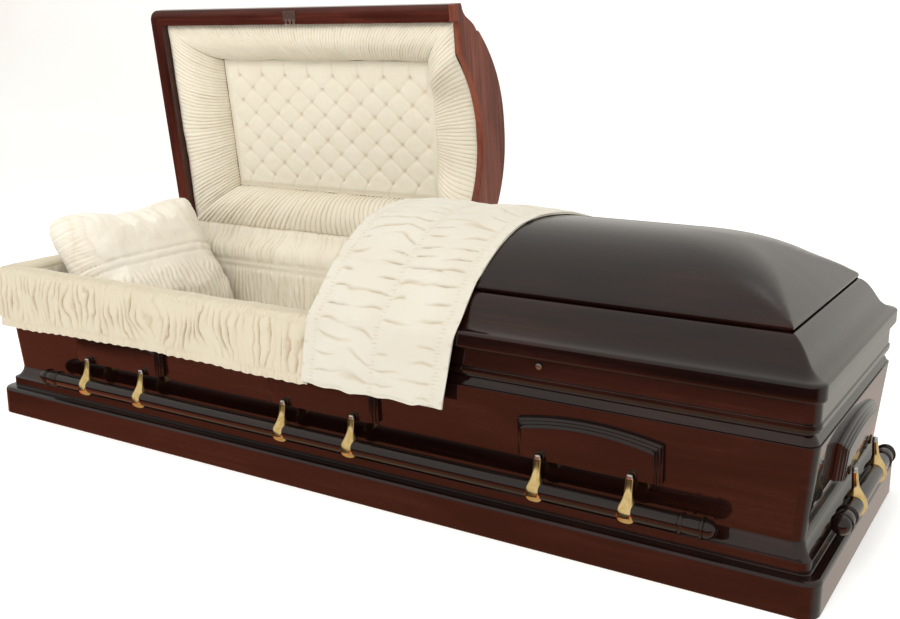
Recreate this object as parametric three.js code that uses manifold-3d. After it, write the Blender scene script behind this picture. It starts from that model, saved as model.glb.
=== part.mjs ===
// A half-couch wooden funeral casket with its head lid open, in millimetres.
// +X runs to the foot end, -Y to the front, +Z up. The origin is the centre of the underside.

import * as THREE from 'three';
import { mergeVertices } from 'three/addons/utils/BufferGeometryUtils.js';
import Module from 'manifold-3d';

// Casket body
const bodyLength = 2130;
const bodyWidth = 690;
const plinthHeight = 70;
const plinthCornerRadius = 32;
const plinthEdgeRound = 6;
const baseMouldingTop = 122;
const baseMouldingStep = 22;
const baseMouldingThickness = 60;
const coveFoot = 94;
const mouldingCornerRadius = 18;
const wallFootInset = 39.6;
const wallTopInset = 24;
const wallTop = 300;
const wallThickness = 19;
const wallCornerRadius = 24;
const edgeRound = 2;
const railTop = 377.5;
const railFaceInset = 28;
const railThickness = 32;
const railSlopeHeight = 17;
const railSlopeInset = 31;
const railFootInset = 27;
const railUndercutHeight = 5;
const railUndercutDepth = 10;
const beadHeight = 12;
const beadProud = 2.5;
const bottomBoardThickness = 20;

// Lids
const lidEndInset = 19;
const lidSideInset = 8;
const lidLength = bodyLength - 2 * lidEndInset;
const lidWidth = bodyWidth - 2 * lidSideInset;
const lidUnderside = 381;
const lidBandHeight = 31;
const lidEdgeRound = 4;
const lidCornerRadius = 30;
const rimWidth = 43;
const rimInnerHeight = 28;
const rimTopWidth = 20;
const ogeeTopHeight = 98;
const ogeeTopInset = 74;
const crownInset = 75;
const crownEdgeHeight = 10;
const crownBaseHeight = ogeeTopHeight + crownEdgeHeight;
const crownRise = 108;
const crownThickness = 18;
const crownFullness = 2.3;
const headerThickness = 19;
const splitX = -6;
const splitGap = 8;
const headLidOpenDegrees = 82.3;
const archShelfHeight = 20;
const archShelfStep = 3;
const archHalfWidth = 213;
const archRise = 75;

// Cloth, bed and pillow
const liningThickness = 14;
const liningClearance = 1.5;
const bedTop = 150;
const bedClearance = 4;
const bedCornerRadius = 30;
const borderSeamHeight = 80;
const tuftedPanelThickness = 14;
const sideBorderWidth = 150;
const headBorderWidth = 190;
const splitBorderWidth = 112;
const footLiningInset = 78;
const footLiningHeight = 30;
const pillowLength = 297;
const pillowTop = 540;
const pillowSideClearance = 16;
const skirtHem = 268;
const skirtThickness = 9;
const skirtRoll = 24;
const skirtLap = 12;
const skirtReturnGap = 20;
const skirtSplitGap = 35;
const overlayHem = 248;
const overlayThickness = 6;
const overlayClearance = 1.2;
const overlayLength = 328;
const overlayTopLength = 378;
const overlayHeadFold = 5;
const overlayHemSpread = 28;

// Raised arched panels behind the handles
const panelLength = 296;
const panelCornerHeight = 135;
const panelArchRise = 16;
const panelThickness = 20;
const panelEdgeWidth = 15;
const panelFootHeight = 62;
const panelEndDistance = 439;
const panelSpacing = bodyLength / 2 - panelEndDistance;

// Swing-bar handles
const pivotHeight = 191;
const pivotBallRadius = 6.5;
const bossRadius = 9;
const bossProud = 2.5;
const barHeight = 128;
const barOutboard = 5.4;
const barRadius = 18;
const barCapRadius = 19;
const barCapLength = 20;
const barRingRadius = 21;
const barRingLength = 8;
const barRingSpacing = 40;
const barSides = 10;
const sideBarEndDistance = 177;
const endBarEndDistance = 120;
const sideBarLength = bodyLength - 2 * sideBarEndDistance;
const endBarLength = bodyWidth - 2 * endBarEndDistance;
const armSpacing = 187;
const armTopHalfWidth = 8;
const armFootHalfWidth = 21;
const armWall = 3.5;

// Small fittings
const latchPlateLength = 43;
const latchPlateWidth = 27;
const latchPlateThickness = 2;
const latchPlateX = (splitX - lidLength / 2) / 2;
const catchX = (splitX + lidLength / 2) / 2;
const catchHeight = 364;
const catchRadius = 7;
const catchThickness = 5;

// Clearance between two pieces that touch
const touchGap = 0.3;

const headSign = -1;
const footSign = 1;

const colours = {
  mahogany: { color: 0x3a120c, roughness: 0.12, metalness: 0 },
  barWood: { color: 0x2c100c, roughness: 0.1, metalness: 0 },
  cloth: { color: 0xede3d0, roughness: 0.95, metalness: 0 },
  brass: { color: 0xd8b45a, roughness: 0.25, metalness: 1 },
  steel: { color: 0x6f6f6c, roughness: 0.4, metalness: 1 },
};

const wasm = await Module();
wasm.setup();

const casket = new THREE.Group();
casket.name = 'funeral_casket';

function addMesh(parent, name, geometry, look) {
  const mesh = new THREE.Mesh(geometry, new THREE.MeshStandardMaterial(look));
  mesh.name = name;
  parent.add(mesh);
  return mesh;
}

// Welding and solids

function welded(geometry) {
  const bare = geometry.clone();
  bare.deleteAttribute('normal');
  bare.deleteAttribute('uv');
  return mergeVertices(bare, 1e-3);
}

function toSolid(geometry) {
  const shared = welded(geometry);
  return new wasm.Manifold(new wasm.Mesh({
    numProp: 3,
    vertProperties: new Float32Array(shared.attributes.position.array),
    triVerts: new Uint32Array(shared.index.array),
  }));
}

function toGeometry(solid) {
  const mesh = solid.getMesh();
  const geometry = new THREE.BufferGeometry();
  geometry.setAttribute('position', new THREE.BufferAttribute(new Float32Array(mesh.vertProperties), 3));
  geometry.setIndex(Array.from(mesh.triVerts));
  return geometry;
}

// A closed mesh from points and triangles. Collapsed triangles are dropped, and it faces outwards.
function closedGeometry(points, triangles) {
  const geometry = new THREE.BufferGeometry();
  geometry.setAttribute('position', new THREE.Float32BufferAttribute(points.flat(), 3));
  geometry.setIndex(triangles.flat());
  const shared = mergeVertices(geometry, 1e-3);
  const p = shared.attributes.position;
  const a = new THREE.Vector3();
  const b = new THREE.Vector3();
  const c = new THREE.Vector3();
  const kept = [];
  let volume = 0;
  for (let i = 0; i < shared.index.count; i += 3) {
    const [ia, ib, ic] = [0, 1, 2].map((k) => shared.index.getX(i + k));
    if (ia === ib || ib === ic || ic === ia) continue;
    kept.push([ia, ib, ic]);
    a.fromBufferAttribute(p, ia);
    b.fromBufferAttribute(p, ib);
    c.fromBufferAttribute(p, ic);
    volume += a.dot(b.cross(c));
  }
  const facing = volume < 0 ? kept.map(([ia, ib, ic]) => [ia, ic, ib]) : kept;
  shared.setIndex(facing.flat());
  return shared;
}

// Sweeping a section round a rounded rectangle.
// A section point is { inset, z, radius }: how far inside the rectangle, how high, and the plan radius there.

function sectionPoint(inset, z, radius = 0) {
  return { inset, z, radius };
}

// A place on a straight side. normalX and normalY point out of the rectangle.
function sideStation(x, y, normalX, normalY) {
  return (p) => [x - normalX * p.inset, y - normalY * p.inset];
}

// A place on a rounded corner. turn is 0 where the arc leaves the long side and 1 where it meets the end.
function cornerStation(halfLength, halfWidth, signX, signY, turn) {
  const angle = turn * Math.PI / 2;
  return (p) => [
    signX * (halfLength - p.inset - p.radius + p.radius * Math.sin(angle)),
    signY * (halfWidth - p.inset - p.radius + p.radius * Math.cos(angle)),
  ];
}

// The section runs counter-clockwise with inset to the right and z up.
// An open section is left open along its last edge, where the two sides of a crown meet.
function sweep(section, stations, open = false) {
  const points = [];
  for (const station of stations) {
    for (const p of section) {
      points.push([...station(p), p.z]);
    }
  }
  const count = section.length;
  const edges = open ? count - 1 : count;
  const triangles = [];
  for (let s = 0; s + 1 < stations.length; s++) {
    for (let i = 0; i < edges; i++) {
      const j = (i + 1) % count;
      const a = s * count + i;
      const b = s * count + j;
      const c = (s + 1) * count + j;
      const d = (s + 1) * count + i;
      triangles.push([a, b, c], [a, c, d]);
    }
  }
  const outline = section.map((p) => new THREE.Vector2(p.inset, p.z));
  const last = (stations.length - 1) * count;
  for (const [a, b, c] of THREE.ShapeUtils.triangulateShape(outline, [])) {
    triangles.push([a, c, b], [last + a, last + b, last + c]);
  }
  return closedGeometry(points, triangles);
}

const cornerSteps = 2;

// One side of a frame that is mitred at its corners, kept clear of its neighbours by the touching gap.
function mitredSide(section, length, width, side) {
  const halfLength = length / 2;
  const halfWidth = width / 2;
  const along = { front: [0, -1], back: [0, 1], head: [-1, 0], foot: [1, 0] }[side];
  const isLong = along[0] === 0;
  const stations = [];
  for (const end of [-1, 1]) {
    const signX = isLong ? end : along[0];
    const signY = isLong ? along[1] : end;
    const turns = [];
    for (let k = 0; k <= cornerSteps; k++) {
      const half = 0.5 * k / cornerSteps;
      turns.push(isLong ? half : 1 - half);
    }
    if (end === -1) turns.reverse();
    turns.forEach((turn) => {
      const station = cornerStation(halfLength, halfWidth, signX, signY, turn);
      const shift = -end * touchGap * 0.8;
      stations.push((p) => {
        const [x, y] = station(p);
        return isLong ? [x + shift, y] : [x, y + shift];
      });
    });
  }
  return sweep(section, stations);
}

function addMitredFrame(parent, name, section, length, width, look) {
  for (const side of ['front', 'back', 'head', 'foot']) {
    addMesh(parent, `${name}_${side}`, mitredSide(section, length, width, side), look);
  }
}

// Three sides of a lid: from the split along the front, round the end and back along the rear.
function lidStations(endSign, startX, steps) {
  const halfLength = lidLength / 2;
  const halfWidth = lidWidth / 2;
  const stations = [sideStation(startX, -halfWidth, 0, -1)];
  for (let k = 0; k <= steps; k++) {
    stations.push(cornerStation(halfLength, halfWidth, endSign, -1, steps ? k / steps : 0));
  }
  for (let k = 0; k <= steps; k++) {
    stations.push(cornerStation(halfLength, halfWidth, endSign, 1, steps ? 1 - k / steps : 0));
  }
  stations.push(sideStation(startX, halfWidth, 0, 1));
  return stations;
}

// Base moulding: a plinth, a small step and a cove that runs up to the walls
function baseSection() {
  const points = [
    sectionPoint(baseMouldingThickness, 0),
    sectionPoint(baseMouldingThickness, baseMouldingTop),
    sectionPoint(wallFootInset, baseMouldingTop, mouldingCornerRadius),
  ];
  const coveSteps = 3;
  for (let k = 1; k <= coveSteps; k++) {
    const t = k / coveSteps * Math.PI / 2;
    const inset = wallFootInset + (baseMouldingStep - wallFootInset) * (1 - Math.cos(t));
    const z = baseMouldingTop + (coveFoot - baseMouldingTop) * Math.sin(t);
    points.push(sectionPoint(inset, z, mouldingCornerRadius));
  }
  const round = plinthEdgeRound;
  points.push(sectionPoint(baseMouldingStep, plinthHeight, mouldingCornerRadius));
  points.push(sectionPoint(round, plinthHeight, plinthCornerRadius - round));
  points.push(sectionPoint(round / 4, plinthHeight - round / 4, plinthCornerRadius - round / 4));
  points.push(sectionPoint(0, plinthHeight - round, plinthCornerRadius));
  points.push(sectionPoint(0, 0, plinthCornerRadius));
  return points;
}

// Walls lean out from the base moulding to the rail
const wallFoot = baseMouldingTop + touchGap;
function wallInsetAt(z) {
  return wallFootInset + (wallTopInset - wallFootInset) * (z - wallFoot) / (wallTop - wallFoot);
}
const wallInnerInset = wallFootInset + wallThickness;
function wallSection() {
  return [
    sectionPoint(wallInnerInset, wallFoot),
    sectionPoint(wallInnerInset, wallTop),
    sectionPoint(wallTopInset + edgeRound, wallTop, wallCornerRadius - edgeRound),
    sectionPoint(wallTopInset, wallTop - edgeRound, wallCornerRadius),
    sectionPoint(wallFootInset, wallFoot, mouldingCornerRadius),
  ];
}

// Rail: a slope, an undercut, a bead and the upright face below the lid.
// The plan radius shrinks with the inset, so that the mouldings stay parallel round a corner.
const railInnerInset = railFaceInset + railThickness;
function railSection() {
  const foot = wallTop + touchGap;
  const slopeTop = foot + railSlopeHeight;
  const beadFoot = slopeTop + railUndercutHeight;
  const beadTop = beadFoot + beadHeight;
  const cornerTaper = 0.8;
  const at = (inset, z) => sectionPoint(inset, z, wallCornerRadius - cornerTaper * (inset - railFaceInset));
  return [
    sectionPoint(railInnerInset, foot),
    sectionPoint(railInnerInset, railTop),
    at(railFaceInset + edgeRound, railTop),
    at(railFaceInset, railTop - edgeRound),
    at(railFaceInset, beadTop),
    at(railFaceInset - beadProud, beadTop - beadHeight / 3),
    at(railFaceInset - beadProud / 2, beadFoot + beadHeight / 6),
    at(railFaceInset + railUndercutDepth, beadFoot),
    at(railFaceInset + railUndercutDepth, slopeTop),
    at(railSlopeInset, foot + railSlopeHeight * 0.4),
    at(railFootInset, foot),
  ];
}

// Lid rim: an upright band and the ogee moulding above it, as insets from the lid's outline and heights
const ogeeShares = [
  [0.24, 0.09],
  [0.42, 0.24],
  [0.54, 0.43],
  [0.65, 0.63],
  [0.78, 0.82],
  [0.92, 0.955],
  [1, 1],
];
const ogeeCurve = ogeeShares.map(([across, up]) => [
  ogeeTopInset * across,
  lidBandHeight + (ogeeTopHeight - lidBandHeight) * up,
]);
const ogee = [[0, lidBandHeight - edgeRound], [edgeRound, lidBandHeight], ...ogeeCurve];
const lidFootRound = lidEdgeRound * 0.75;
function lidPlanRadius(inset) {
  return Math.max(lidCornerRadius - inset * 0.42, 2);
}
function rimSection() {
  const z = lidUnderside;
  const outside = ogee.map(([inset, height]) => sectionPoint(inset, z + height, lidPlanRadius(inset)));
  return [
    sectionPoint(rimWidth, z),
    sectionPoint(rimWidth, z + rimInnerHeight),
    sectionPoint(ogeeTopInset + rimTopWidth * 0.7, z + ogeeTopHeight - rimInnerHeight),
    sectionPoint(ogeeTopInset + rimTopWidth, z + ogeeTopHeight),
    ...outside.reverse(),
    sectionPoint(0, z + lidEdgeRound, lidCornerRadius),
    sectionPoint(lidFootRound, z, lidCornerRadius - lidFootRound),
  ];
}

// The crown's height above its base, at a distance in from its edge
const crownHalfWidth = lidWidth / 2 - crownInset;
function crownHeightAt(distance) {
  const share = Math.max(1 - distance / crownHalfWidth, 0);
  return crownRise * (1 - share ** crownFullness);
}
const crownShares = [0, 0.06, 0.14, 0.24, 0.36, 0.5, 0.66, 0.84, 1];
function crownOuterPoints(z) {
  return crownShares.map((share) => {
    const distance = share * crownHalfWidth;
    return sectionPoint(crownInset + distance, z + crownBaseHeight + crownHeightAt(distance));
  });
}
function crownSection() {
  const z = lidUnderside;
  const base = z + ogeeTopHeight + touchGap;
  const outside = crownOuterPoints(z);
  const innerHalfWidth = crownHalfWidth - crownThickness;
  const inside = crownShares.filter((share, k) => k % 2 === 0).map((share) => {
    const distance = crownThickness + share * innerHalfWidth;
    const height = crownHeightAt(share * crownHalfWidth) * (crownRise - crownThickness) / crownRise;
    return sectionPoint(crownInset + distance, base + crownThickness * 0.5 + height);
  });
  return [
    ...outside.reverse(),
    sectionPoint(crownInset, base),
    sectionPoint(crownInset + crownThickness, base),
    ...inside,
  ];
}

// The board across the split end of a lid: the lid's whole profile with an arched opening
function headerGeometry() {
  const halfWidth = lidWidth / 2;
  const front = [
    [lidFootRound, 0],
    [0, lidEdgeRound],
    ...ogee,
    [crownInset, ogeeTopHeight],
    ...crownOuterPoints(0).map((p) => [p.inset, p.z]),
  ];
  const right = front.map(([inset, height]) => [halfWidth - inset, height]);
  const left = right.slice(0, -1).map(([y, height]) => [-y, height]).reverse();
  const shelfHalfWidth = halfWidth - rimWidth;
  const arch = [
    [-shelfHalfWidth, 0],
    [-shelfHalfWidth + archShelfStep, archShelfHeight - archShelfStep],
    [-archHalfWidth - 2 * archShelfStep, archShelfHeight],
  ];
  const archSteps = 12;
  for (let k = 0; k <= archSteps; k++) {
    const share = -1 + 2 * k / archSteps;
    arch.push([share * archHalfWidth, archShelfHeight + archShelfStep + archRise * (1 - share * share)]);
  }
  const mirrored = arch.slice(0, 3).map(([y, height]) => [-y, height]).reverse();
  const outline = [...right, ...left, ...arch, ...mirrored].map(([y, height]) => new THREE.Vector2(y, height));
  const plate = new THREE.ExtrudeGeometry(new THREE.Shape(outline), {
    depth: headerThickness,
    bevelEnabled: false,
  });
  plate.rotateX(Math.PI / 2);
  plate.rotateZ(Math.PI / 2);
  return plate;
}

function addLid(parent, name, endSign) {
  const splitEdge = splitX + endSign * splitGap / 2;
  const start = splitEdge + endSign * (headerThickness + touchGap);
  addMesh(parent, `${name}_rim`, sweep(rimSection(), lidStations(endSign, start, 3)), colours.mahogany);
  addMesh(parent, `${name}_crown`, sweep(crownSection(), lidStations(endSign, start, 0), true), colours.mahogany);
  const header = addMesh(parent, `${name}_header`, headerGeometry(), colours.mahogany);
  header.position.set(endSign > 0 ? splitEdge : splitEdge - headerThickness, 0, lidUnderside);
  return start;
}

// Linings of the body: one padded board on each wall
function addBodyLinings(parent) {
  const outer = railInnerInset + liningClearance;
  const inner = outer + liningThickness;
  const halfLength = bodyLength / 2;
  const halfWidth = bodyWidth / 2;
  const height = railTop - bedTop;
  const sideLength = bodyLength - 2 * outer;
  const endWidth = bodyWidth - 2 * inner - 2 * touchGap;
  const middleZ = bedTop + height / 2;
  for (const [name, sign] of [['front', -1], ['back', 1]]) {
    const board = new THREE.BoxGeometry(sideLength, liningThickness, height);
    const mesh = addMesh(parent, `lining_${name}`, board, colours.cloth);
    mesh.position.set(0, sign * (halfWidth - outer - liningThickness / 2), middleZ);
  }
  for (const [name, sign] of [['head', -1], ['foot', 1]]) {
    const board = new THREE.BoxGeometry(liningThickness, endWidth, height);
    const mesh = addMesh(parent, `lining_${name}`, board, colours.cloth);
    mesh.position.set(sign * (halfLength - outer - liningThickness / 2), 0, middleZ);
  }
  return inner;
}

// A flat slab with rounded upright corners
function roundedSlab(length, width, height, radius) {
  const x = length / 2;
  const y = width / 2;
  const shape = new THREE.Shape();
  shape.moveTo(-x + radius, -y);
  shape.lineTo(x - radius, -y);
  shape.absarc(x - radius, -y + radius, radius, -Math.PI / 2, 0);
  shape.absarc(x - radius, y - radius, radius, 0, Math.PI / 2);
  shape.absarc(-x + radius, y - radius, radius, Math.PI / 2, Math.PI);
  shape.absarc(-x + radius, -y + radius, radius, Math.PI, Math.PI * 1.5);
  return new THREE.ExtrudeGeometry(shape, { depth: height, bevelEnabled: false, curveSegments: 3 });
}

// A prism along Y with its outline given as [x, z] points
function prismAlongY(outline, width) {
  const shape = new THREE.Shape(outline.map(([x, z]) => new THREE.Vector2(x, z)));
  const prism = new THREE.ExtrudeGeometry(shape, { depth: width, bevelEnabled: false });
  prism.rotateX(Math.PI / 2);
  prism.translate(0, width / 2, 0);
  return prism;
}

// The pillow leans against the head lining and rests on the bed.
// Its outline is a soft form, given as shares of its length and of its height.
const pillowOutline = [
  [0, 0],
  [0.96, 0],
  [1, 0.1],
  [0.91, 0.22],
  [0.77, 0.47],
  [0.59, 0.81],
  [0.4, 0.96],
  [0.22, 1],
  [0.05, 0.95],
  [0, 0.83],
];
function addPillow(parent, liningInset) {
  const back = -bodyLength / 2 + liningInset + bedClearance;
  const foot = bedTop + touchGap;
  const height = pillowTop - foot;
  const outline = pillowOutline.map(([along, up]) => [back + pillowLength * along, foot + height * up]);
  const width = bodyWidth - 2 * liningInset - 2 * pillowSideClearance;
  addMesh(parent, 'pillow', prismAlongY(outline, width), colours.cloth);
}

// The cloth skirt that lies over the front and head rails in a roll and hangs outside them
function addSkirt(parent) {
  const bed = railTop + touchGap;
  const top = railTop + skirtRoll;
  const innerFold = railInnerInset + skirtLap;
  const cornerRadius = plinthCornerRadius;
  const section = [
    sectionPoint(0, skirtHem, cornerRadius),
    sectionPoint(0, bed, cornerRadius),
    sectionPoint(innerFold - edgeRound, bed, edgeRound),
    sectionPoint(innerFold, top - skirtRoll / 3, edgeRound),
    sectionPoint(railInnerInset, top, edgeRound),
    sectionPoint(railInnerInset / 3, top + skirtRoll / 8, cornerRadius - railInnerInset / 3),
    sectionPoint(-edgeRound, top - skirtRoll / 6, cornerRadius + edgeRound),
    sectionPoint(-skirtThickness, top - skirtRoll * 0.75, cornerRadius + skirtThickness),
    sectionPoint(-skirtThickness, skirtHem, cornerRadius + skirtThickness),
  ];
  const halfLength = bodyLength / 2;
  const halfWidth = bodyWidth / 2;
  const stations = [sideStation(splitX - skirtSplitGap, -halfWidth, 0, -1)];
  const steps = 4;
  for (let k = 0; k <= steps; k++) {
    stations.push(cornerStation(halfLength, halfWidth, -1, -1, k / steps));
  }
  const returnY = halfWidth - railInnerInset - skirtReturnGap;
  stations.push(sideStation(-halfLength, returnY, -1, 0));
  addMesh(parent, 'skirt', sweep(section, stations), colours.cloth);
}

// The overlay cloth lies across the head end of the foot lid, hangs down in front and ends at the back edge.
// Its first two rows hang free of the lid, and its hem spreads over the gap to the skirt.
function addOverlay(parent) {
  const clear = overlayClearance;
  const halfWidth = lidWidth / 2;
  const drop = lidSideInset + clear;
  const lidSide = [
    [-drop, overlayHem - lidUnderside],
    [-drop, lidBandHeight - overlayThickness],
    [-clear, lidBandHeight + overlayThickness / 2],
    ...ogeeCurve.map(([inset, height]) => [inset - clear, height + 2 * clear]),
    [crownInset - clear, crownBaseHeight + clear],
    ...crownOuterPoints(0).slice(1).map((p) => [p.inset, p.z + clear]),
  ];
  const shoulder = ogeeCurve[0][0];
  const offsets = lidSide.map(([inset, height], k) => {
    const share = Math.min(Math.max((inset - shoulder) / (halfWidth - shoulder), 0), 1);
    const lift = overlayThickness * (0.35 + 0.65 * Math.sqrt(share));
    const out = k < 2 ? overlayThickness : overlayThickness * (1 - share);
    return [inset - out, k === 0 ? height : height + (k === 1 ? overlayThickness : lift)];
  });
  const footEdge = lidSide.map(([inset]) => {
    const share = Math.max(inset, 0) / halfWidth;
    return splitX + overlayLength + (overlayTopLength - overlayLength) * share;
  });
  const foldEdge = splitX + splitGap / 2 - overlayHeadFold;
  const headEdge = lidSide.map((p, k) => (k === 0 ? foldEdge - overlayHemSpread : foldEdge));
  const row = (k, side) => {
    const y = (list) => side * (halfWidth - list[k][0]);
    const z = (list) => lidUnderside + list[k][1];
    return [
      [headEdge[k], y(lidSide), z(lidSide)],
      [footEdge[k], y(lidSide), z(lidSide)],
      [footEdge[k], y(offsets), z(offsets)],
      [headEdge[k], y(offsets), z(offsets)],
    ];
  };
  const rows = [];
  for (let k = 0; k < lidSide.length; k++) rows.push(row(k, -1));
  for (let k = lidSide.length - 2; k >= 2; k--) rows.push(row(k, 1));
  const points = rows.flat();
  const triangles = [];
  for (let r = 0; r + 1 < rows.length; r++) {
    for (let k = 0; k < 4; k++) {
      const a = r * 4 + k;
      const b = r * 4 + (k + 1) % 4;
      triangles.push([a, b, b + 4], [a, b + 4, a + 4]);
    }
  }
  const end = (rows.length - 1) * 4;
  triangles.push([0, 2, 1], [0, 3, 2], [end, end + 1, end + 2], [end, end + 2, end + 3]);
  addMesh(parent, 'overlay_cloth', closedGeometry(points, triangles), colours.cloth);
}

// Padding inside the open head lid: a gathered border round a tufted panel.
// The border's face is given as shares of its width and of its seam's height.
const borderCurve = [
  [0, 0.3],
  [0, 0.2],
  [0.3, 0.16],
  [0.6, 0.26],
  [0.88, 0.56],
  [1, 1],
];
function addHeadLidLining(parent, start) {
  const z = lidUnderside;
  const rimSide = rimWidth + liningClearance;
  const seam = z + borderSeamHeight;
  const outerLow = -lidLength / 2 + rimSide;
  const outerHigh = start - liningClearance;
  const outerHalf = lidWidth / 2 - rimSide;
  const seamLow = -lidLength / 2 + headBorderWidth;
  const seamHigh = start - splitBorderWidth;
  const seamHalf = lidWidth / 2 - sideBorderWidth;
  const section = [
    ...borderCurve.map(([across, up]) => [across, z + borderSeamHeight * up]),
    [1, seam + tuftedPanelThickness],
    [0.65, seam + tuftedPanelThickness],
    [0.6, seam],
  ];
  const corners = [
    [outerLow, -outerHalf, seamLow, -seamHalf],
    [outerLow, outerHalf, seamLow, seamHalf],
    [outerHigh, outerHalf, seamHigh, seamHalf],
    [outerHigh, -outerHalf, seamHigh, -seamHalf],
  ];
  const count = section.length;
  const points = [];
  const triangles = [];
  for (const [x, y, seamX, seamY] of corners) {
    for (const [across, height] of section) {
      points.push([x + (seamX - x) * across, y + (seamY - y) * across, height]);
    }
  }
  for (let s = 0; s < corners.length; s++) {
    for (let i = 0; i < count; i++) {
      const next = (s + 1) % corners.length;
      const j = (i + 1) % count;
      triangles.push([s * count + i, s * count + j, next * count + j]);
      triangles.push([s * count + i, next * count + j, next * count + i]);
    }
  }
  addMesh(parent, 'head_lid_border', closedGeometry(points, triangles), colours.cloth);
  const length = seamHigh - seamLow - 2 * touchGap;
  const width = 2 * seamHalf - 2 * touchGap;
  const slab = new THREE.BoxGeometry(length, width, tuftedPanelThickness);
  const panel = addMesh(parent, 'head_lid_tufted_panel', slab, colours.cloth);
  panel.position.set((seamLow + seamHigh) / 2, 0, seam + tuftedPanelThickness / 2);
}

// Padding inside the foot lid
function addFootLidLining(parent, start) {
  const low = start + liningClearance;
  const high = lidLength / 2 - footLiningInset;
  const slab = new THREE.BoxGeometry(high - low, lidWidth - 2 * footLiningInset, liningThickness);
  const mesh = addMesh(parent, 'foot_lid_lining', slab, colours.cloth);
  mesh.position.set((low + high) / 2, 0, lidUnderside + footLiningHeight);
}

// One side of the casket as a group whose -Y faces out of that side
function sideGroup(parent, side) {
  const turns = { front: 0, foot: Math.PI / 2, back: Math.PI, head: -Math.PI / 2 };
  const group = new THREE.Group();
  group.rotation.z = turns[side];
  parent.add(group);
  return group;
}
function faceDistance(side) {
  return (side === 'front' || side === 'back' ? bodyWidth : bodyLength) / 2;
}

// Raised panel with an arched top and a fluted edge, built flat and laid on the leaning wall.
// A round boss behind each arm's pivot stands proud of its face.
const wallLean = Math.atan((wallFootInset - wallTopInset) / (wallTop - wallFoot));
function panelGeometry() {
  const foot = panelFootHeight;
  const archSteps = 6;
  const outline = (shrink) => {
    const half = panelLength / 2 - shrink;
    const points = [[-half, foot], [half, foot]];
    for (let k = 0; k <= archSteps; k++) {
      const share = 1 - 2 * k / archSteps;
      const height = panelCornerHeight + panelArchRise * (1 - share * share) - shrink;
      points.push([share * half, height]);
    }
    return points;
  };
  const edge = panelEdgeWidth;
  const depth = panelThickness;
  const layers = [
    [0, 0],
    [0, depth * 0.35],
    [edge * 0.3, depth * 0.5],
    [edge * 0.36, depth * 0.66],
    [edge * 0.68, depth * 0.78],
    [edge * 0.74, depth * 0.92],
    [edge, depth],
  ];
  const rings = layers.map(([shrink, out]) => outline(shrink).map(([x, z]) => [x, -out, z]));
  const count = rings[0].length;
  const points = rings.flat();
  const triangles = [];
  for (let r = 0; r + 1 < rings.length; r++) {
    for (let i = 0; i < count; i++) {
      const j = (i + 1) % count;
      const a = r * count + i;
      const b = r * count + j;
      triangles.push([a, b, b + count], [a, b + count, a + count]);
    }
  }
  const top = (rings.length - 1) * count;
  const flat = outline(0).map(([x, z]) => new THREE.Vector2(x, z));
  for (const [a, b, c] of THREE.ShapeUtils.triangulateShape(flat, [])) {
    triangles.push([a, c, b], [top + a, top + b, top + c]);
  }
  let solid = toSolid(closedGeometry(points, triangles));
  const face = panelThickness + bossProud;
  const bossLength = face - panelThickness / 2;
  const bossZ = (pivotHeight - wallFoot + face * Math.sin(wallLean)) / Math.cos(wallLean);
  for (const x of [-armSpacing / 2, armSpacing / 2]) {
    const boss = new THREE.CylinderGeometry(bossRadius, bossRadius, bossLength, 8);
    boss.translate(x, bossLength / 2 - face, bossZ);
    solid = solid.add(toSolid(boss));
  }
  return toGeometry(solid);
}
function addPanel(parent, name, side, centre) {
  const holder = new THREE.Group();
  holder.position.set(centre, -faceDistance(side) + wallFootInset, wallFoot);
  holder.rotation.x = wallLean;
  sideGroup(parent, side).add(holder);
  const panel = addMesh(holder, name, panelGeometry(), colours.mahogany);
  panel.position.y = -touchGap;
}

// Swing-bar handle. The pivot line lies just outside the bosses and the bar hangs below it.
const bossFaceAtPivot = wallInsetAt(pivotHeight) - (panelThickness + bossProud) / Math.cos(wallLean) - touchGap;
const pivotInset = bossFaceAtPivot - pivotBallRadius / Math.cos(wallLean) - touchGap;
const barInset = pivotInset - barOutboard;

// Each end of a bar has a rounded cap and two rings
function barGeometry(length) {
  const half = length / 2;
  const end = [new THREE.Vector2(0, half)];
  const capSteps = 2;
  for (let k = 1; k <= capSteps; k++) {
    const angle = k / capSteps * Math.PI / 2;
    end.push(new THREE.Vector2(barCapRadius * Math.sin(angle), half - barCapLength * (1 - Math.cos(angle))));
  }
  for (const distance of [barCapLength, barCapLength + barRingSpacing]) {
    const ring = half - distance - barRingLength;
    end.push(new THREE.Vector2(barRingRadius, ring + barRingLength * 0.7));
    end.push(new THREE.Vector2(barRingRadius, ring + barRingLength * 0.3));
    end.push(new THREE.Vector2(barRadius, ring));
  }
  const otherEnd = end.map((p) => new THREE.Vector2(p.x, -p.y));
  const bar = new THREE.LatheGeometry([...otherEnd, ...end.reverse()], barSides);
  bar.rotateZ(-Math.PI / 2);
  return bar;
}

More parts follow.
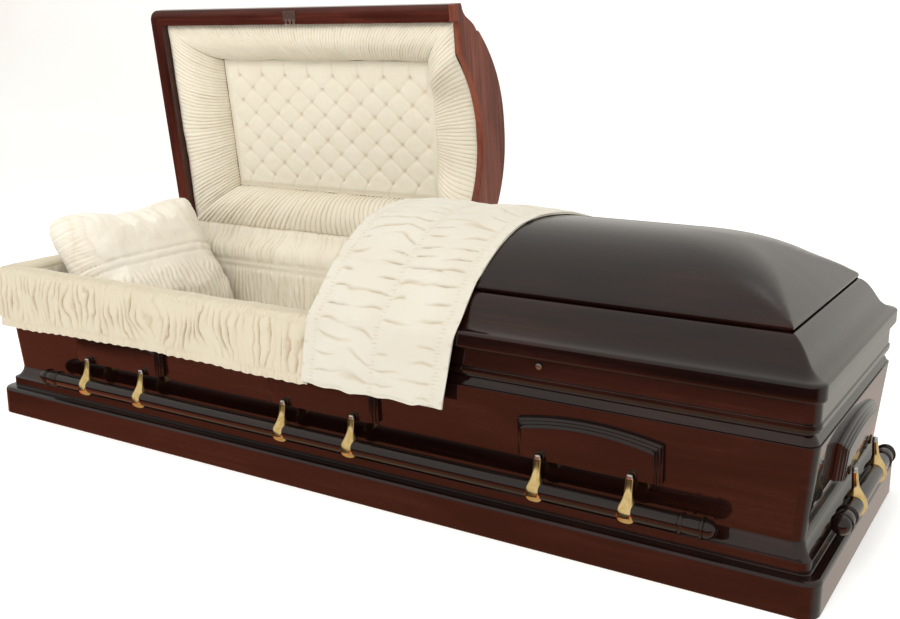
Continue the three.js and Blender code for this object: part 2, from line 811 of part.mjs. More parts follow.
// A cast arm: a ball at the pivot, a slim neck, and a flared foot that grips the bar.
// Each row gives a share of the drop, the half width in top half widths, and a share of the grip's depth.
function armGeometry() {
  const drop = pivotHeight - barHeight;
  const reach = barOutboard;
  const length = Math.hypot(drop, reach);
  const grip = barRadius + armWall;
  const sides = 8;
  const rows = [
    [0, 1, 0.6],
    [0.36, 1.2, 0.66],
    [0.6, 1.9, 0.8],
    [0.78, 2.5, 0.96],
    [1, 2.7, 1],
    [1.25, 2.5, 0.8],
    [1.38, 1.5, 0.25],
  ];
  const points = [];
  for (const [share, wide, thick] of rows) {
    const halfWidth = Math.min(wide * armTopHalfWidth, armFootHalfWidth);
    const halfDepth = grip * (share < 0.3 ? thick * 0.45 : thick * (0.3 + 0.7 * Math.min(share, 1) ** 2));
    for (let k = 0; k < sides; k++) {
      const angle = 2 * Math.PI * (k + 0.5) / sides;
      const across = Math.sign(Math.cos(angle)) * Math.abs(Math.cos(angle)) ** 0.8 * halfWidth;
      const deep = Math.sin(angle) * halfDepth;
      points.push([across, -reach * share + deep, -length * share]);
    }
  }
  const triangles = [];
  for (let r = 0; r + 1 < rows.length; r++) {
    for (let k = 0; k < sides; k++) {
      const a = r * sides + k;
      const b = r * sides + (k + 1) % sides;
      triangles.push([a, b, b + sides], [a, b + sides, a + sides]);
    }
  }
  const top = (rows.length - 1) * sides;
  for (let k = 1; k + 1 < sides; k++) {
    triangles.push([0, k + 1, k], [top, top + k, top + k + 1]);
  }
  const body = toSolid(closedGeometry(points, triangles));
  const ball = toSolid(new THREE.SphereGeometry(pivotBallRadius, 8, 4));
  const bore = new THREE.CylinderGeometry(barRadius + touchGap, barRadius + touchGap, 4 * armFootHalfWidth, barSides);
  bore.rotateZ(Math.PI / 2);
  bore.translate(0, -reach, -drop);
  return toGeometry(body.add(ball).subtract(toSolid(bore)));
}

function addHandle(parent, side, length, centres) {
  const group = sideGroup(parent, side);
  const pivotY = -faceDistance(side) + pivotInset;
  const bar = addMesh(group, `bar_${side}`, barGeometry(length), colours.barWood);
  bar.position.set(0, -faceDistance(side) + barInset, barHeight);
  const arm = armGeometry();
  const xs = centres.flatMap((centre) => [centre - armSpacing / 2, centre + armSpacing / 2]);
  xs.forEach((x, k) => {
    const mesh = addMesh(group, `arm_${side}_${k + 1}`, arm, colours.brass);
    mesh.position.set(x, pivotY, pivotHeight);
  });
}

// Build the body
const bottomInset = baseMouldingThickness + touchGap;
const bottomBoard = new THREE.BoxGeometry(
  bodyLength - 2 * bottomInset,
  bodyWidth - 2 * bottomInset,
  bottomBoardThickness,
);
addMesh(casket, 'bottom_board', bottomBoard, colours.mahogany).position.z = bottomBoardThickness / 2;
addMitredFrame(casket, 'base_moulding', baseSection(), bodyLength, bodyWidth, colours.mahogany);
addMitredFrame(casket, 'wall', wallSection(), bodyLength, bodyWidth, colours.mahogany);
addMitredFrame(casket, 'rail', railSection(), bodyLength, bodyWidth, colours.mahogany);

const liningInset = addBodyLinings(casket);
const bedInset = Math.max(liningInset, wallInnerInset) + bedClearance;
const bedFoot = bottomBoardThickness + touchGap;
const bed = roundedSlab(bodyLength - 2 * bedInset, bodyWidth - 2 * bedInset, bedTop - bedFoot, bedCornerRadius);
addMesh(casket, 'bed', bed, colours.cloth).position.z = bedFoot;
addPillow(casket, liningInset);
addSkirt(casket);

// Raised panels and handles
const sideCentres = [-panelSpacing, 0, panelSpacing];
for (const side of ['front', 'back']) {
  sideCentres.forEach((centre, k) => addPanel(casket, `arched_panel_${side}_${k + 1}`, side, centre));
  addHandle(casket, side, sideBarLength, sideCentres);
}
for (const side of ['head', 'foot']) {
  addPanel(casket, `arched_panel_${side}`, side, 0);
  addHandle(casket, side, endBarLength, [0]);
}

// Foot lid, closed
const footStart = addLid(casket, 'foot_lid', footSign);
addFootLidLining(casket, footStart);
addOverlay(casket);

// Head lid, swung open about its hinge line at the back
const hingeY = lidWidth / 2;
const hinge = new THREE.Group();
hinge.position.set(0, hingeY, lidUnderside);
hinge.rotation.x = -THREE.MathUtils.degToRad(headLidOpenDegrees);
casket.add(hinge);
const headLid = new THREE.Group();
headLid.position.set(0, -hingeY, -lidUnderside);
hinge.add(headLid);
const headStart = addLid(headLid, 'head_lid', headSign);
addHeadLidLining(headLid, headStart);

// Latch plate under the head lid's front rim, and the catch on the rail below the foot lid
const plate = new THREE.BoxGeometry(latchPlateLength, latchPlateWidth, latchPlateThickness);
addMesh(headLid, 'latch_plate', plate, colours.steel).position.set(
  latchPlateX,
  -lidWidth / 2 + rimWidth / 2,
  lidUnderside - touchGap - latchPlateThickness / 2,
);
const catchDisc = new THREE.CylinderGeometry(catchRadius, catchRadius, catchThickness, 12);
addMesh(casket, 'rail_catch', catchDisc, colours.steel).position.set(
  catchX,
  -bodyWidth / 2 + railFaceInset - touchGap - catchThickness / 2,
  catchHeight,
);

export default casket;
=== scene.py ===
"""The looks of a half-couch wooden funeral casket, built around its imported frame, in metres."""

import math

import bmesh
import bpy
import numpy as np
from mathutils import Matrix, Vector


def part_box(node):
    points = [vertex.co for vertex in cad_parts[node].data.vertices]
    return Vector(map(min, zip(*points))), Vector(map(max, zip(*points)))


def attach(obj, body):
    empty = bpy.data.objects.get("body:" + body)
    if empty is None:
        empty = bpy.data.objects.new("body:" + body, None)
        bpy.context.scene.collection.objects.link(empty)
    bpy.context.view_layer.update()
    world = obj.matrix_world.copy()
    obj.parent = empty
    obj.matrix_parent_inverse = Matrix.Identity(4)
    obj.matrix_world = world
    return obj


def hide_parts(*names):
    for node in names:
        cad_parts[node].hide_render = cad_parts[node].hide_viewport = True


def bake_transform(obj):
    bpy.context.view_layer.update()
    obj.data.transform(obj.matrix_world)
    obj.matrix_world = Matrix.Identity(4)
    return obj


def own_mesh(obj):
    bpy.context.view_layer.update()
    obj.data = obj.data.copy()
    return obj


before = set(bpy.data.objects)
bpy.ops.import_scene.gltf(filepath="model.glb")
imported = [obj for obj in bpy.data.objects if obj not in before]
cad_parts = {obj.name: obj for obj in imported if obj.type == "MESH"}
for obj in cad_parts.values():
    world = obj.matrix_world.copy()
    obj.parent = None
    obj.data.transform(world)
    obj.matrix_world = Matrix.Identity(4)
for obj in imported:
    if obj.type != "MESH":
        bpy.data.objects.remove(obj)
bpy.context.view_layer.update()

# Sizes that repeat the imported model's, in metres
MM = 0.001
BODY_LENGTH = 2.130
BODY_WIDTH = 0.690
RAIL_TOP = 0.3775
WALL_FOOT = 0.1223
WALL_TOP = 0.300
WALL_FOOT_INSET = 0.0396
WALL_TOP_INSET = 0.024
LID_LENGTH = 2.092
LID_WIDTH = 0.674
LID_UNDERSIDE = 0.381
RIM_WIDTH = 0.043
CROWN_INSET = 0.075
CROWN_BASE = 0.108
CROWN_RISE = 0.108
CROWN_FULLNESS = 2.3
CROWN_THICKNESS = 0.018
HEADER = 0.019
GAP = 0.0003
FOOT_SPLIT = -0.002
HEAD_SPLIT = -0.010
OPEN_ANGLE = math.radians(82.3)
HINGE_Y = LID_WIDTH / 2
PIVOT_Z = 0.191
PIVOT_INSET = 0.0038574
BAR_Z = 0.128
BAR_OUTBOARD = 0.0054
BOSS_PROUD = 0.0025
PANEL_THICKNESS = 0.020
PANEL_SPACING = 0.626
ARM_SPACING = 0.187
LINING_INSET = 0.0755
WALL_LEAN = math.atan((WALL_FOOT_INSET - WALL_TOP_INSET) / (WALL_TOP - WALL_FOOT))
SIDES = {"front": 0.0, "foot": math.pi / 2, "back": math.pi, "head": -math.pi / 2}


# Noise and folds

def value_noise(u, v, seed):
    """Smooth noise from -1 to 1 on a fixed random lattice."""
    table = np.random.default_rng(seed).random((64, 64)) * 2 - 1
    u, v = np.broadcast_arrays(np.asarray(u, float), np.asarray(v, float))
    iu, iv = np.floor(u).astype(int), np.floor(v).astype(int)
    fu, fv = u - iu, v - iv
    fu, fv = fu * fu * (3 - 2 * fu), fv * fv * (3 - 2 * fv)
    a, b = table[iu % 64, iv % 64], table[(iu + 1) % 64, iv % 64]
    c, d = table[iu % 64, (iv + 1) % 64], table[(iu + 1) % 64, (iv + 1) % 64]
    return (a * (1 - fu) + b * fu) * (1 - fv) + (c * (1 - fu) + d * fu) * fv


def fractal(u, v, seed):
    """Three octaves of smooth noise, each half as strong and twice as fine as the last."""
    total, size = 0, 1.0
    for k in range(3):
        total = total + size * value_noise(u * 2 ** k, v * 2 ** k, seed + k)
        size *= 0.5
    return total


def ridges(phase, sharp):
    """Rounded ridges between narrow creases: 0 in a crease and 1 on a ridge."""
    return np.abs(np.sin(np.pi * phase)) ** sharp


def ease(x, low, high):
    """0 below low, 1 above high, and a smooth step between."""
    t = np.clip((x - low) / (high - low), 0, 1)
    return t * t * (3 - 2 * t)


def bump_at(x, centre, width):
    """1 at the centre, falling off smoothly over the width."""
    return np.exp(-((x - centre) / width) ** 2)


def spline(points, count):
    """A smooth curve through the points, evenly spaced along its length."""
    p = np.array(points, float)
    ends = np.vstack([2 * p[0] - p[1], p, 2 * p[-1] - p[-2]])
    out = []
    for k in range(len(p) - 1):
        a, b, c, d = ends[k:k + 4]
        for t in np.linspace(0, 1, 24, endpoint=False):
            out.append(0.5 * (2 * b + (c - a) * t + (2 * a - 5 * b + 4 * c - d) * t ** 2
                              + (3 * b - a - 3 * c + d) * t ** 3))
    out.append(p[-1])
    out = np.array(out)
    return even(out, count)


def distances(line):
    """Distance along a line of points to each of them."""
    return np.concatenate([[0], np.cumsum(np.linalg.norm(np.diff(line, axis=0), axis=1))])


def even(line, count):
    """The same line with its points evenly spaced."""
    along = distances(line)
    at = np.linspace(0, along[-1], count)
    return np.stack([np.interp(at, along, line[:, k]) for k in range(line.shape[1])], 1)


def round_angles(count):
    """Evenly spaced angles round a circle."""
    return np.linspace(0, 2 * math.pi, count, endpoint=False)


# Mesh pieces

# Points of a cloth's fine front grid to one point of its plain back
STRIDE = 6


def grid_normals(grid):
    du, dv = np.gradient(grid, axis=0), np.gradient(grid, axis=1)
    n = np.cross(du, dv)
    return n / np.maximum(np.linalg.norm(n, axis=2, keepdims=True), 1e-12)


def arc_lengths(grid, axis, wrap):
    """Distance along one direction of a grid, the same for every line of it."""
    steps = np.linalg.norm(np.diff(grid, axis=axis), axis=2).mean(axis=1 - axis)
    if wrap:
        first, last = np.take(grid, 0, axis), np.take(grid, -1, axis)
        steps = np.append(steps, np.linalg.norm(first - last, axis=1).mean())
    return np.concatenate([[0], np.cumsum(steps)])


def grid_faces(nu, nv, wrap_u=False, wrap_v=False):
    iu = np.arange(nu if wrap_u else nu - 1)
    iv = np.arange(nv if wrap_v else nv - 1)
    a, b = np.meshgrid(iu, iv, indexing="ij")
    a1, b1 = (a + 1) % nu, (b + 1) % nv
    quads = np.stack([a * nv + b, a1 * nv + b, a1 * nv + b1, a * nv + b1], -1).reshape(-1, 4)
    cu = np.stack([a, a + 1, a + 1, a], -1).reshape(-1, 4)
    cv = np.stack([b, b, b + 1, b + 1], -1).reshape(-1, 4)
    return quads, cu, cv


def make(name, points, faces, uvs=None, values=None, sharp=None, weld=False, fix=True):
    """A mesh object. uvs gives one pair for each face corner, values one number for each point, kept as the
    fold attribute that sets the cloth's painted shade.
    """
    mesh = bpy.data.meshes.new(name)
    corners = [tuple(int(i) for i in f) for f in faces]
    mesh.from_pydata([tuple(p) for p in np.asarray(points, float)], [], corners)
    if uvs is not None:
        layer = mesh.uv_layers.new(name="grain")
        layer.data.foreach_set("uv", np.asarray(uvs, np.float32).ravel())
    if values is not None:
        attribute = mesh.attributes.new("fold", "FLOAT", "POINT")
        attribute.data.foreach_set("value", np.asarray(values, np.float32).ravel())
    if weld or fix:
        bm = bmesh.new()
        bm.from_mesh(mesh)
        if weld:
            bmesh.ops.remove_doubles(bm, verts=bm.verts, dist=2e-6)
            bmesh.ops.dissolve_degenerate(bm, edges=bm.edges, dist=1e-7)
        if fix:
            bmesh.ops.recalc_face_normals(bm, faces=bm.faces)
        bm.to_mesh(mesh)
        bm.free()
    mesh.shade_smooth()
    if sharp is not None:
        mesh.set_sharp_from_angle(angle=math.radians(sharp))
    thing = bpy.data.objects.new(name, mesh)
    bpy.context.scene.collection.objects.link(thing)
    return thing


def swept(name, grid, sharp, wrap_u=False, across=0.0):
    """A solid swept along u with a closed section along v, and its grain along u."""
    nu, nv = grid.shape[:2]
    faces, cu, cv = grid_faces(nu, nv, wrap_u, True)
    lu, lv = arc_lengths(grid, 0, wrap_u), arc_lengths(grid, 1, True) + across
    uvs = np.stack([lu[cu], lv[cv]], -1).reshape(-1, 2)
    faces = [list(f) for f in faces]
    if not wrap_u:
        for ring, order in ((0, 1), (nu - 1, -1)):
            faces.append([ring * nv + k for k in range(nv)][::order])
            uvs = np.vstack([uvs, grid[ring][::order][:, 1:]])
    return make(name, grid.reshape(-1, 3), faces, uvs, sharp=sharp, weld=True)


def shell(name, front, back, values, stride_v=STRIDE):
    """A closed thin body: a fine front grid, and a coarse back grid with every stride-th point of it."""
    stride_u = STRIDE
    nu, nv = front.shape[:2]
    coarse = back[::stride_u, ::stride_v]
    mu, mv = coarse.shape[:2]
    quads, cu, cv = grid_faces(nu, nv)
    lu, lv = arc_lengths(front, 0, False), arc_lengths(front, 1, False)
    faces = [list(f) for f in quads]
    uvs = [np.stack([lu[cu], lv[cv]], -1).reshape(-1, 2)]
    base = nu * nv
    back_quads, bu, bv = grid_faces(mu, mv)
    faces += [list(f + base)[::-1] for f in back_quads]
    uvs.append(np.stack([lu[bu * stride_u], lv[bv * stride_v]], -1)[:, ::-1].reshape(-1, 2))
    for v_fine, v_coarse in ((0, 0), (nv - 1, mv - 1)):
        for k in range(mu - 1):
            fine = [(k * stride_u + i) * nv + v_fine for i in range(stride_u + 1)]
            face = fine + [base + (k + 1) * mv + v_coarse, base + k * mv + v_coarse]
            faces.append(face)
            uvs.append(np.full((len(face), 2), lu[k * stride_u]))
    for u_fine, u_coarse in ((0, 0), (nu - 1, mu - 1)):
        for k in range(mv - 1):
            fine = [u_fine * nv + k * stride_v + i for i in range(stride_v + 1)]
            face = fine + [base + u_coarse * mv + k + 1, base + u_coarse * mv + k]
            faces.append(face)
            uvs.append(np.full((len(face), 2), lv[k * stride_v]))
    points = np.vstack([front.reshape(-1, 3), coarse.reshape(-1, 3)])
    values = np.concatenate([values.ravel(), np.full(mu * mv, float(np.mean(values)))])
    return make(name, points, faces, np.vstack(uvs), values, sharp=65)


def strips(rows, along, step):
    """Faces between rings of point numbers that lie one above the other, and their grain."""
    faces, uvs = [], []
    n = len(rows[0])
    for r in range(len(rows) - 1):
        low, high = r * step, r * step + step
        for k in range(n):
            m = (k + 1) % n
            faces.append([rows[r][k], rows[r][m], rows[r + 1][m], rows[r + 1][k]])
            uvs.append([(along[k], low), (along[m], low), (along[m], high), (along[k], high)])
    return faces, uvs


def tube(name, grid, **options):
    """A closed tube: a grid that wraps along v, with a flat cap on each end."""
    nu, nv = grid.shape[:2]
    faces = [list(f) for f in grid_faces(nu, nv, False, True)[0]]
    faces += [list(range(nv))[::-1], list(range((nu - 1) * nv, nu * nv))]
    return make(name, grid.reshape(-1, 3), faces, **options)


def finish_piece(thing, body, slot, material, *nodes):
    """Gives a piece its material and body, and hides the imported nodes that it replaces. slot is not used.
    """
    thing.data.materials.clear()
    thing.data.materials.append(material)
    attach(thing, body)
    if nodes:
        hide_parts(*nodes)
    return thing


# Sections in millimetres as (inset, height, plan radius, fillet), turned into metres

def section(points, steps=4):
    """A section with its fillets rounded, and a close point on each side of a fillet to keep it tight."""
    support = 0.4
    out = []
    for k, (x, z, plan, fillet) in enumerate(points):
        here = np.array([x, z], float)
        before = np.array(points[k - 1][:2], float) - here
        after = np.array(points[(k + 1) % len(points)][:2], float) - here
        lb, la = np.linalg.norm(before), np.linalg.norm(after)
        before, after = before / lb, after / la
        angle = math.acos(float(np.clip(before @ after, -1, 1)))
        if fillet <= 0 or angle > math.radians(176):
            out.append((x, z, plan))
            continue
        cut = min(fillet / math.tan(angle / 2), 0.45 * lb, 0.45 * la)
        radius = cut * math.tan(angle / 2)
        bisector = (before + after) / np.linalg.norm(before + after)
        centre = here + bisector * radius / math.sin(angle / 2)
        start, end = here + before * cut, here + after * cut
        a0 = math.atan2(*(start - centre)[::-1])
        a1 = math.atan2(*(end - centre)[::-1])
        turn = (a1 - a0 + math.pi) % (2 * math.pi) - math.pi
        out.append((*(start + before * min(support, 0.04 * lb)), plan))
        for i in range(steps + 1):
            a = a0 + turn * i / steps
            out.append((*(centre + radius * np.array([math.cos(a), math.sin(a)])), plan))
        out.append((*(end + after * min(support, 0.04 * la)), plan))
    return np.array(out) * MM


def corner_rows(half_length, half_width, profile, sign_x, sign_y, reverse):
    """A section carried round one rounded corner of the plan."""
    steps, support = 10, 0.001
    inset, height, plan = profile.T
    angle = np.linspace(0, math.pi / 2, steps + 1)[:, None]
    x = sign_x * (half_length - inset - plan + plan * np.sin(angle))
    y = sign_y * (half_width - inset - plan + plan * np.cos(angle))
    x = np.vstack([x[:1] - sign_x * support, x, x[-1:]])
    y = np.vstack([y[:1], y, y[-1:] - sign_y * support])
    rows = np.stack([x, y, np.broadcast_to(height, x.shape)], -1)
    return rows[::-1] if reverse else rows


def body_ring(profile):
    """A section carried round all four corners of the body."""
    hl, hw = BODY_LENGTH / 2, BODY_WIDTH / 2
    return np.concatenate([
        corner_rows(hl, hw, profile, 1, -1, False),
        corner_rows(hl, hw, profile, 1, 1, True),
        corner_rows(hl, hw, profile, -1, 1, False),
        corner_rows(hl, hw, profile, -1, -1, True),
    ])


def opened(points):
    """The head lid's closed shape swung open about its hinge line at the back."""
    p = np.array(points, float)
    y, z = p[..., 1] - HINGE_Y, p[..., 2] - LID_UNDERSIDE
    c, s = math.cos(-OPEN_ANGLE), math.sin(-OPEN_ANGLE)
    p[..., 1] = HINGE_Y + y * c - z * s
    p[..., 2] = LID_UNDERSIDE + y * s + z * c
    return p


def turned(points, side):
    """A point of the front's own frame taken to one side of the casket."""
    p = np.array(points, float)
    c, s = math.cos(SIDES[side]), math.sin(SIDES[side])
    x, y = p[..., 0].copy(), p[..., 1].copy()
    p[..., 0] = x * c - y * s
    p[..., 1] = x * s + y * c
    return p


def face_distance(side):
    """Distance from the centre to the outer plane of one side of the body."""
    return (BODY_WIDTH if side in ("front", "back") else BODY_LENGTH) / 2


# Materials

def node_material(name):
    material = bpy.data.materials.new(name)
    material.use_nodes = True
    tree = material.node_tree
    shader = tree.nodes["Principled BSDF"]
    return material, tree, shader


def add_node(tree, kind, settings=None, **inputs):
    node = tree.nodes.new(kind)
    for key, value in (settings or {}).items():
        setattr(node, key, value)
    for key, value in inputs.items():
        node.inputs[key.replace("_", " ")].default_value = value
    return node


def colour_ramp(tree, source, stops):
    ramp = tree.nodes.new("ShaderNodeValToRGB")
    ramp.color_ramp.elements[0].position = stops[0][0]
    ramp.color_ramp.elements[0].color = (*stops[0][1], 1)
    ramp.color_ramp.elements[1].position = stops[-1][0]
    ramp.color_ramp.elements[1].color = (*stops[-1][1], 1)
    for position, colour in stops[1:-1]:
        element = ramp.color_ramp.elements.new(position)
        element.color = (*colour, 1)
    tree.links.new(source, ramp.inputs["Fac"])
    return ramp


def mix_colour(tree, factor, a, b, blend="MIX"):
    mix = tree.nodes.new("ShaderNodeMix")
    mix.data_type = "RGBA"
    mix.blend_type = blend
    for socket, value in ((mix.inputs[0], factor), (mix.inputs[6], a), (mix.inputs[7], b)):
        if isinstance(value, (int, float)):
            socket.default_value = value
        elif isinstance(value, tuple):
            socket.default_value = (*value, 1)
        else:
            tree.links.new(value, socket)
    return mix.outputs[2]


def stretched_noise(tree, coordinates, scale, detail, distortion=0.0, roughness=0.55):
    """Noise with its own scale along each axis."""
    mapping = tree.nodes.new("ShaderNodeMapping")
    mapping.inputs["Scale"].default_value = scale
    tree.links.new(coordinates, mapping.inputs["Vector"])
    noise = add_node(tree, "ShaderNodeTexNoise", Scale=1.0, Detail=detail, Distortion=distortion)
    noise.inputs["Roughness"].default_value = roughness
    tree.links.new(mapping.outputs[0], noise.inputs["Vector"])
    return noise.outputs["Fac"]


def wood_material(name, dark, mid, light, coat_roughness, figure=1.0, coat=1.0):
    """Stained hardwood under clear lacquer: broad figure, streaks and fine pores along the grain."""
    material, tree, shader = node_material(name)
    uv = tree.nodes.new("ShaderNodeUVMap")
    uv.uv_map = "grain"
    broad = stretched_noise(tree, uv.outputs[0], (1.6, 9.0 * figure, 1), 4, 1.2)
    streaks = stretched_noise(tree, uv.outputs[0], (3.0, 110, 1), 5, 0.4)
    pores = stretched_noise(tree, uv.outputs[0], (45, 1500, 1), 2, 0.0, 0.4)
    figure_colour = colour_ramp(tree, broad, [(0.3, dark), (0.52, mid), (0.72, light)])
    streak_colour = colour_ramp(tree, streaks, [(0.35, (0.55, 0.5, 0.5)), (0.65, (1.25, 1.25, 1.25))])
    pore_colour = colour_ramp(tree, pores, [(0.36, (0.55, 0.5, 0.5)), (0.5, (1, 1, 1))])
    colour = mix_colour(tree, 0.75, figure_colour.outputs[0], streak_colour.outputs[0], "MULTIPLY")
    colour = mix_colour(tree, 0.6, colour, pore_colour.outputs[0], "MULTIPLY")
    tree.links.new(colour, shader.inputs["Base Color"])
    shader.inputs["Roughness"].default_value = 0.34
    shader.inputs["Specular IOR Level"].default_value = 0.08
    shader.inputs["Coat Weight"].default_value = coat
    shader.inputs["Coat Roughness"].default_value = coat_roughness
    shader.inputs["Coat IOR"].default_value = 1.5
    bump = add_node(tree, "ShaderNodeBump", Strength=0.05, Distance=0.0004)
    tree.links.new(pores, bump.inputs["Height"])
    tree.links.new(bump.outputs[0], shader.inputs["Normal"])
    return material


def cloth_material(name, pale, crease, crepe=1.0):
    """Cream crepe: a fine crinkle and weave, a soft sheen, and painted shade from the fold attribute:
    darker, warmer colour down in the folds.
    """
    material, tree, shader = node_material(name)
    place = tree.nodes.new("ShaderNodeTexCoord")
    fold = add_node(tree, "ShaderNodeAttribute", {"attribute_name": "fold"})
    crinkle = stretched_noise(tree, place.outputs["Object"], (700, 700, 700), 3, 0.6)
    weave = stretched_noise(tree, place.outputs["Object"], (2600, 2600, 2600), 1)
    patches = stretched_noise(tree, place.outputs["Object"], (9, 9, 9), 2)
    between = tuple(0.35 * c + 0.65 * p for c, p in zip(crease, pale))
    # Painted shade: the fold attribute runs from the crease colour in the fold valleys to the pale colour on
    # the ridges.
    ramp = colour_ramp(tree, fold.outputs["Fac"], [(0.0, crease), (0.42, between), (0.8, pale)])
    tone = colour_ramp(tree, patches, [(0.3, (0.965, 0.95, 0.93)), (0.7, (1, 1, 1))])
    grainy = colour_ramp(tree, crinkle, [(0.3, (0.93, 0.92, 0.9)), (0.6, (1, 1, 1))])
    colour = mix_colour(tree, 1.0, ramp.outputs[0], tone.outputs[0], "MULTIPLY")
    colour = mix_colour(tree, 0.7, colour, grainy.outputs[0], "MULTIPLY")
    tree.links.new(colour, shader.inputs["Base Color"])
    shader.inputs["Roughness"].default_value = 0.85
    shader.inputs["Specular IOR Level"].default_value = 0.2
    shader.inputs["Sheen Weight"].default_value = 0.25
    shader.inputs["Sheen Roughness"].default_value = 0.5
    height = tree.nodes.new("ShaderNodeMath")
    height.operation = "MULTIPLY_ADD"
    height.inputs[1].default_value = 0.35
    tree.links.new(weave, height.inputs[0])
    tree.links.new(crinkle, height.inputs[2])
    bump = add_node(tree, "ShaderNodeBump", Strength=0.35 * crepe, Distance=0.0006)
    tree.links.new(height.outputs[0], bump.inputs["Height"])
    tree.links.new(bump.outputs[0], shader.inputs["Normal"])
    return material


def metal_material(name, colour, dull, low, high):
    """Cast metal: polish that varies a little, with duller colour in patches."""
    material, tree, shader = node_material(name)
    place = tree.nodes.new("ShaderNodeTexCoord")
    patches = stretched_noise(tree, place.outputs["Object"], (60, 60, 60), 4, 0.5)
    fine = stretched_noise(tree, place.outputs["Object"], (900, 900, 900), 2)
    ramp = colour_ramp(tree, patches, [(0.35, dull), (0.6, colour)])
    tree.links.new(ramp.outputs[0], shader.inputs["Base Color"])
    polish = colour_ramp(tree, patches, [(0.3, (high,) * 3), (0.65, (low,) * 3)])
    tree.links.new(polish.outputs[0], shader.inputs["Roughness"])
    shader.inputs["Metallic"].default_value = 1.0
    bump = add_node(tree, "ShaderNodeBump", Strength=0.05, Distance=0.0003)
    tree.links.new(fine, bump.inputs["Height"])
    tree.links.new(bump.outputs[0], shader.inputs["Normal"])
    return material


mahogany = wood_material("mahogany", (0.004, 0.0011, 0.0009), (0.010, 0.0026, 0.0018),
                         (0.020, 0.0050, 0.0032), 0.02)
turned_wood = wood_material("turned_wood", (0.004, 0.0018, 0.0014), (0.009, 0.003, 0.002),
                            (0.016, 0.005, 0.003), 0.03, figure=2.0)
# rim_wood_lit is a lighter, redder copy of the mahogany for the open head lid's rim: painted light, standing
# in for light that the rim's inner faces miss.
rim_wood_lit = wood_material("rim_wood_lit", (0.030, 0.0062, 0.004), (0.062, 0.013, 0.008),
                         (0.105, 0.024, 0.014), 0.05)
# split_end_wood_lit is a lighter, satin copy of the mahogany for the lid headers: painted light, standing in
# for a strong light on the split ends from the foot side.
header_lit_wood = wood_material("split_end_wood_lit", (0.105, 0.026, 0.015), (0.175, 0.049, 0.030),
                           (0.24, 0.072, 0.044), 0.16, coat=0.35)
cloth = cloth_material("cream_crepe", (0.71, 0.672, 0.572), (0.46, 0.31, 0.155))
# The skirt and overlay crepes are darker copies of the cream crepe: painted shade that offsets the stronger
# light on them.
skirt_shaded_cloth = cloth_material("skirt_crepe_shaded", (0.545, 0.495, 0.39), (0.30, 0.175, 0.075), 1.2)
overlay_crepe_shaded = cloth_material("overlay_crepe_shaded", (0.565, 0.54, 0.475), (0.36, 0.24, 0.10), 1.3)
pillow_cloth = cloth_material("pillow_crepe", (0.735, 0.70, 0.625), (0.46, 0.31, 0.15))
brass = metal_material("polished_brass", (0.90, 0.68, 0.32), (0.72, 0.50, 0.20), 0.12, 0.24)
# bronze_boss_shaded is dark metal for the pivot bosses: painted shade, standing in for the shadow behind
# each pivot.
boss_shade_metal = metal_material("bronze_boss_shaded", (0.10, 0.065, 0.04), (0.05, 0.032, 0.02), 0.25, 0.45)
steel = metal_material("plated_steel", (0.33, 0.34, 0.33), (0.18, 0.18, 0.18), 0.3, 0.5)
bright_steel = metal_material("bright_steel", (0.75, 0.75, 0.73), (0.5, 0.5, 0.48), 0.2, 0.35)


# Base moulding, walls and rail, each one ring round the casket

BASE = [
    (60, 0, 0, 0), (60, 122, 0, 0), (39.6, 122, 18, 0.6), (37.5, 112, 18, 0), (33.5, 103.5, 18, 0),
    (28, 97, 18, 0), (22, 94, 18, 1.2), (22, 71, 18, 1.5), (6, 70, 27, 3.5), (1.6, 67.5, 31, 2.0),
    (0, 62, 32, 2), (0, 1.5, 32, 0), (1.5, 0, 30.5, 0),
]
WALL = [
    (58.6, 122.3, 0, 0), (58.6, 300, 0, 0), (24.2, 300, 23.8, 1.2), (39.6, 122.3, 18, 0),
]
RAIL = [
    (60, 300.3, 0, 0), (60, 377.5, 0, 1), (28, 377.5, 24, 2.2), (28, 340.5, 24, 0.6), (25.4, 337.8, 25, 1.2),
    (25.2, 330.5, 25, 1.6), (27.5, 323.4, 24, 0.8), (38, 322.3, 16, 1), (37, 317.6, 16, 1.2),
    (31, 308.5, 21, 4), (27, 300.3, 23, 0.6),
]


def body_frame(name, points, *nodes):
    piece = swept(name, body_ring(section(points)), wrap_u=True, sharp=40)
    return finish_piece(piece, "casket", "mahogany", mahogany, *nodes)


for label, points in (("base_moulding", BASE), ("wall", WALL), ("rail", RAIL)):
    body_frame(f"{label}_ring", points, *[f"{label}_{side}" for side in ("front", "back", "head", "foot")])


# Lids

OGEE = [
    (0, 27), (0.6, 30.2), (3, 32.2), (18, 37), (31, 47), (40, 60), (48, 73), (58, 86), (68, 95), (74, 98),
]


def ogee_line(count):
    """The moulding's outside line, as insets and heights in millimetres."""
    first = np.array(OGEE[:3], float)
    rest = spline(OGEE[2:], count)
    return np.vstack([first, rest[1:]])


def plan_radius(inset):
    """The lid's corner radius in millimetres at a distance in from its edge."""
    return np.maximum(30 - inset * 0.42, 2)


def rim_profile():
    """The lid rim's closed section: the inner slope, the outer moulding and the rounded foot."""
    inner = section([(43, 0, 0, 0), (43, 28, 0, 1.5), (88, 70, 0, 0), (94, 98, 0, 0)], 3)[:, :2] / MM
    inner = [(x, z, 0) for x, z in inner]
    outer = [(x, z, float(plan_radius(x))) for x, z in ogee_line(26)[::-1]]
    foot = [(0, 5, 30), (0, 4.2, 30), (0.5, 2.4, 29.5), (1.4, 1, 28.6), (2.6, 0.2, 27.4), (3.4, 0, 26.6)]
    profile = np.array(inner + outer + foot) * MM
    profile[:, 1] += LID_UNDERSIDE
    return profile


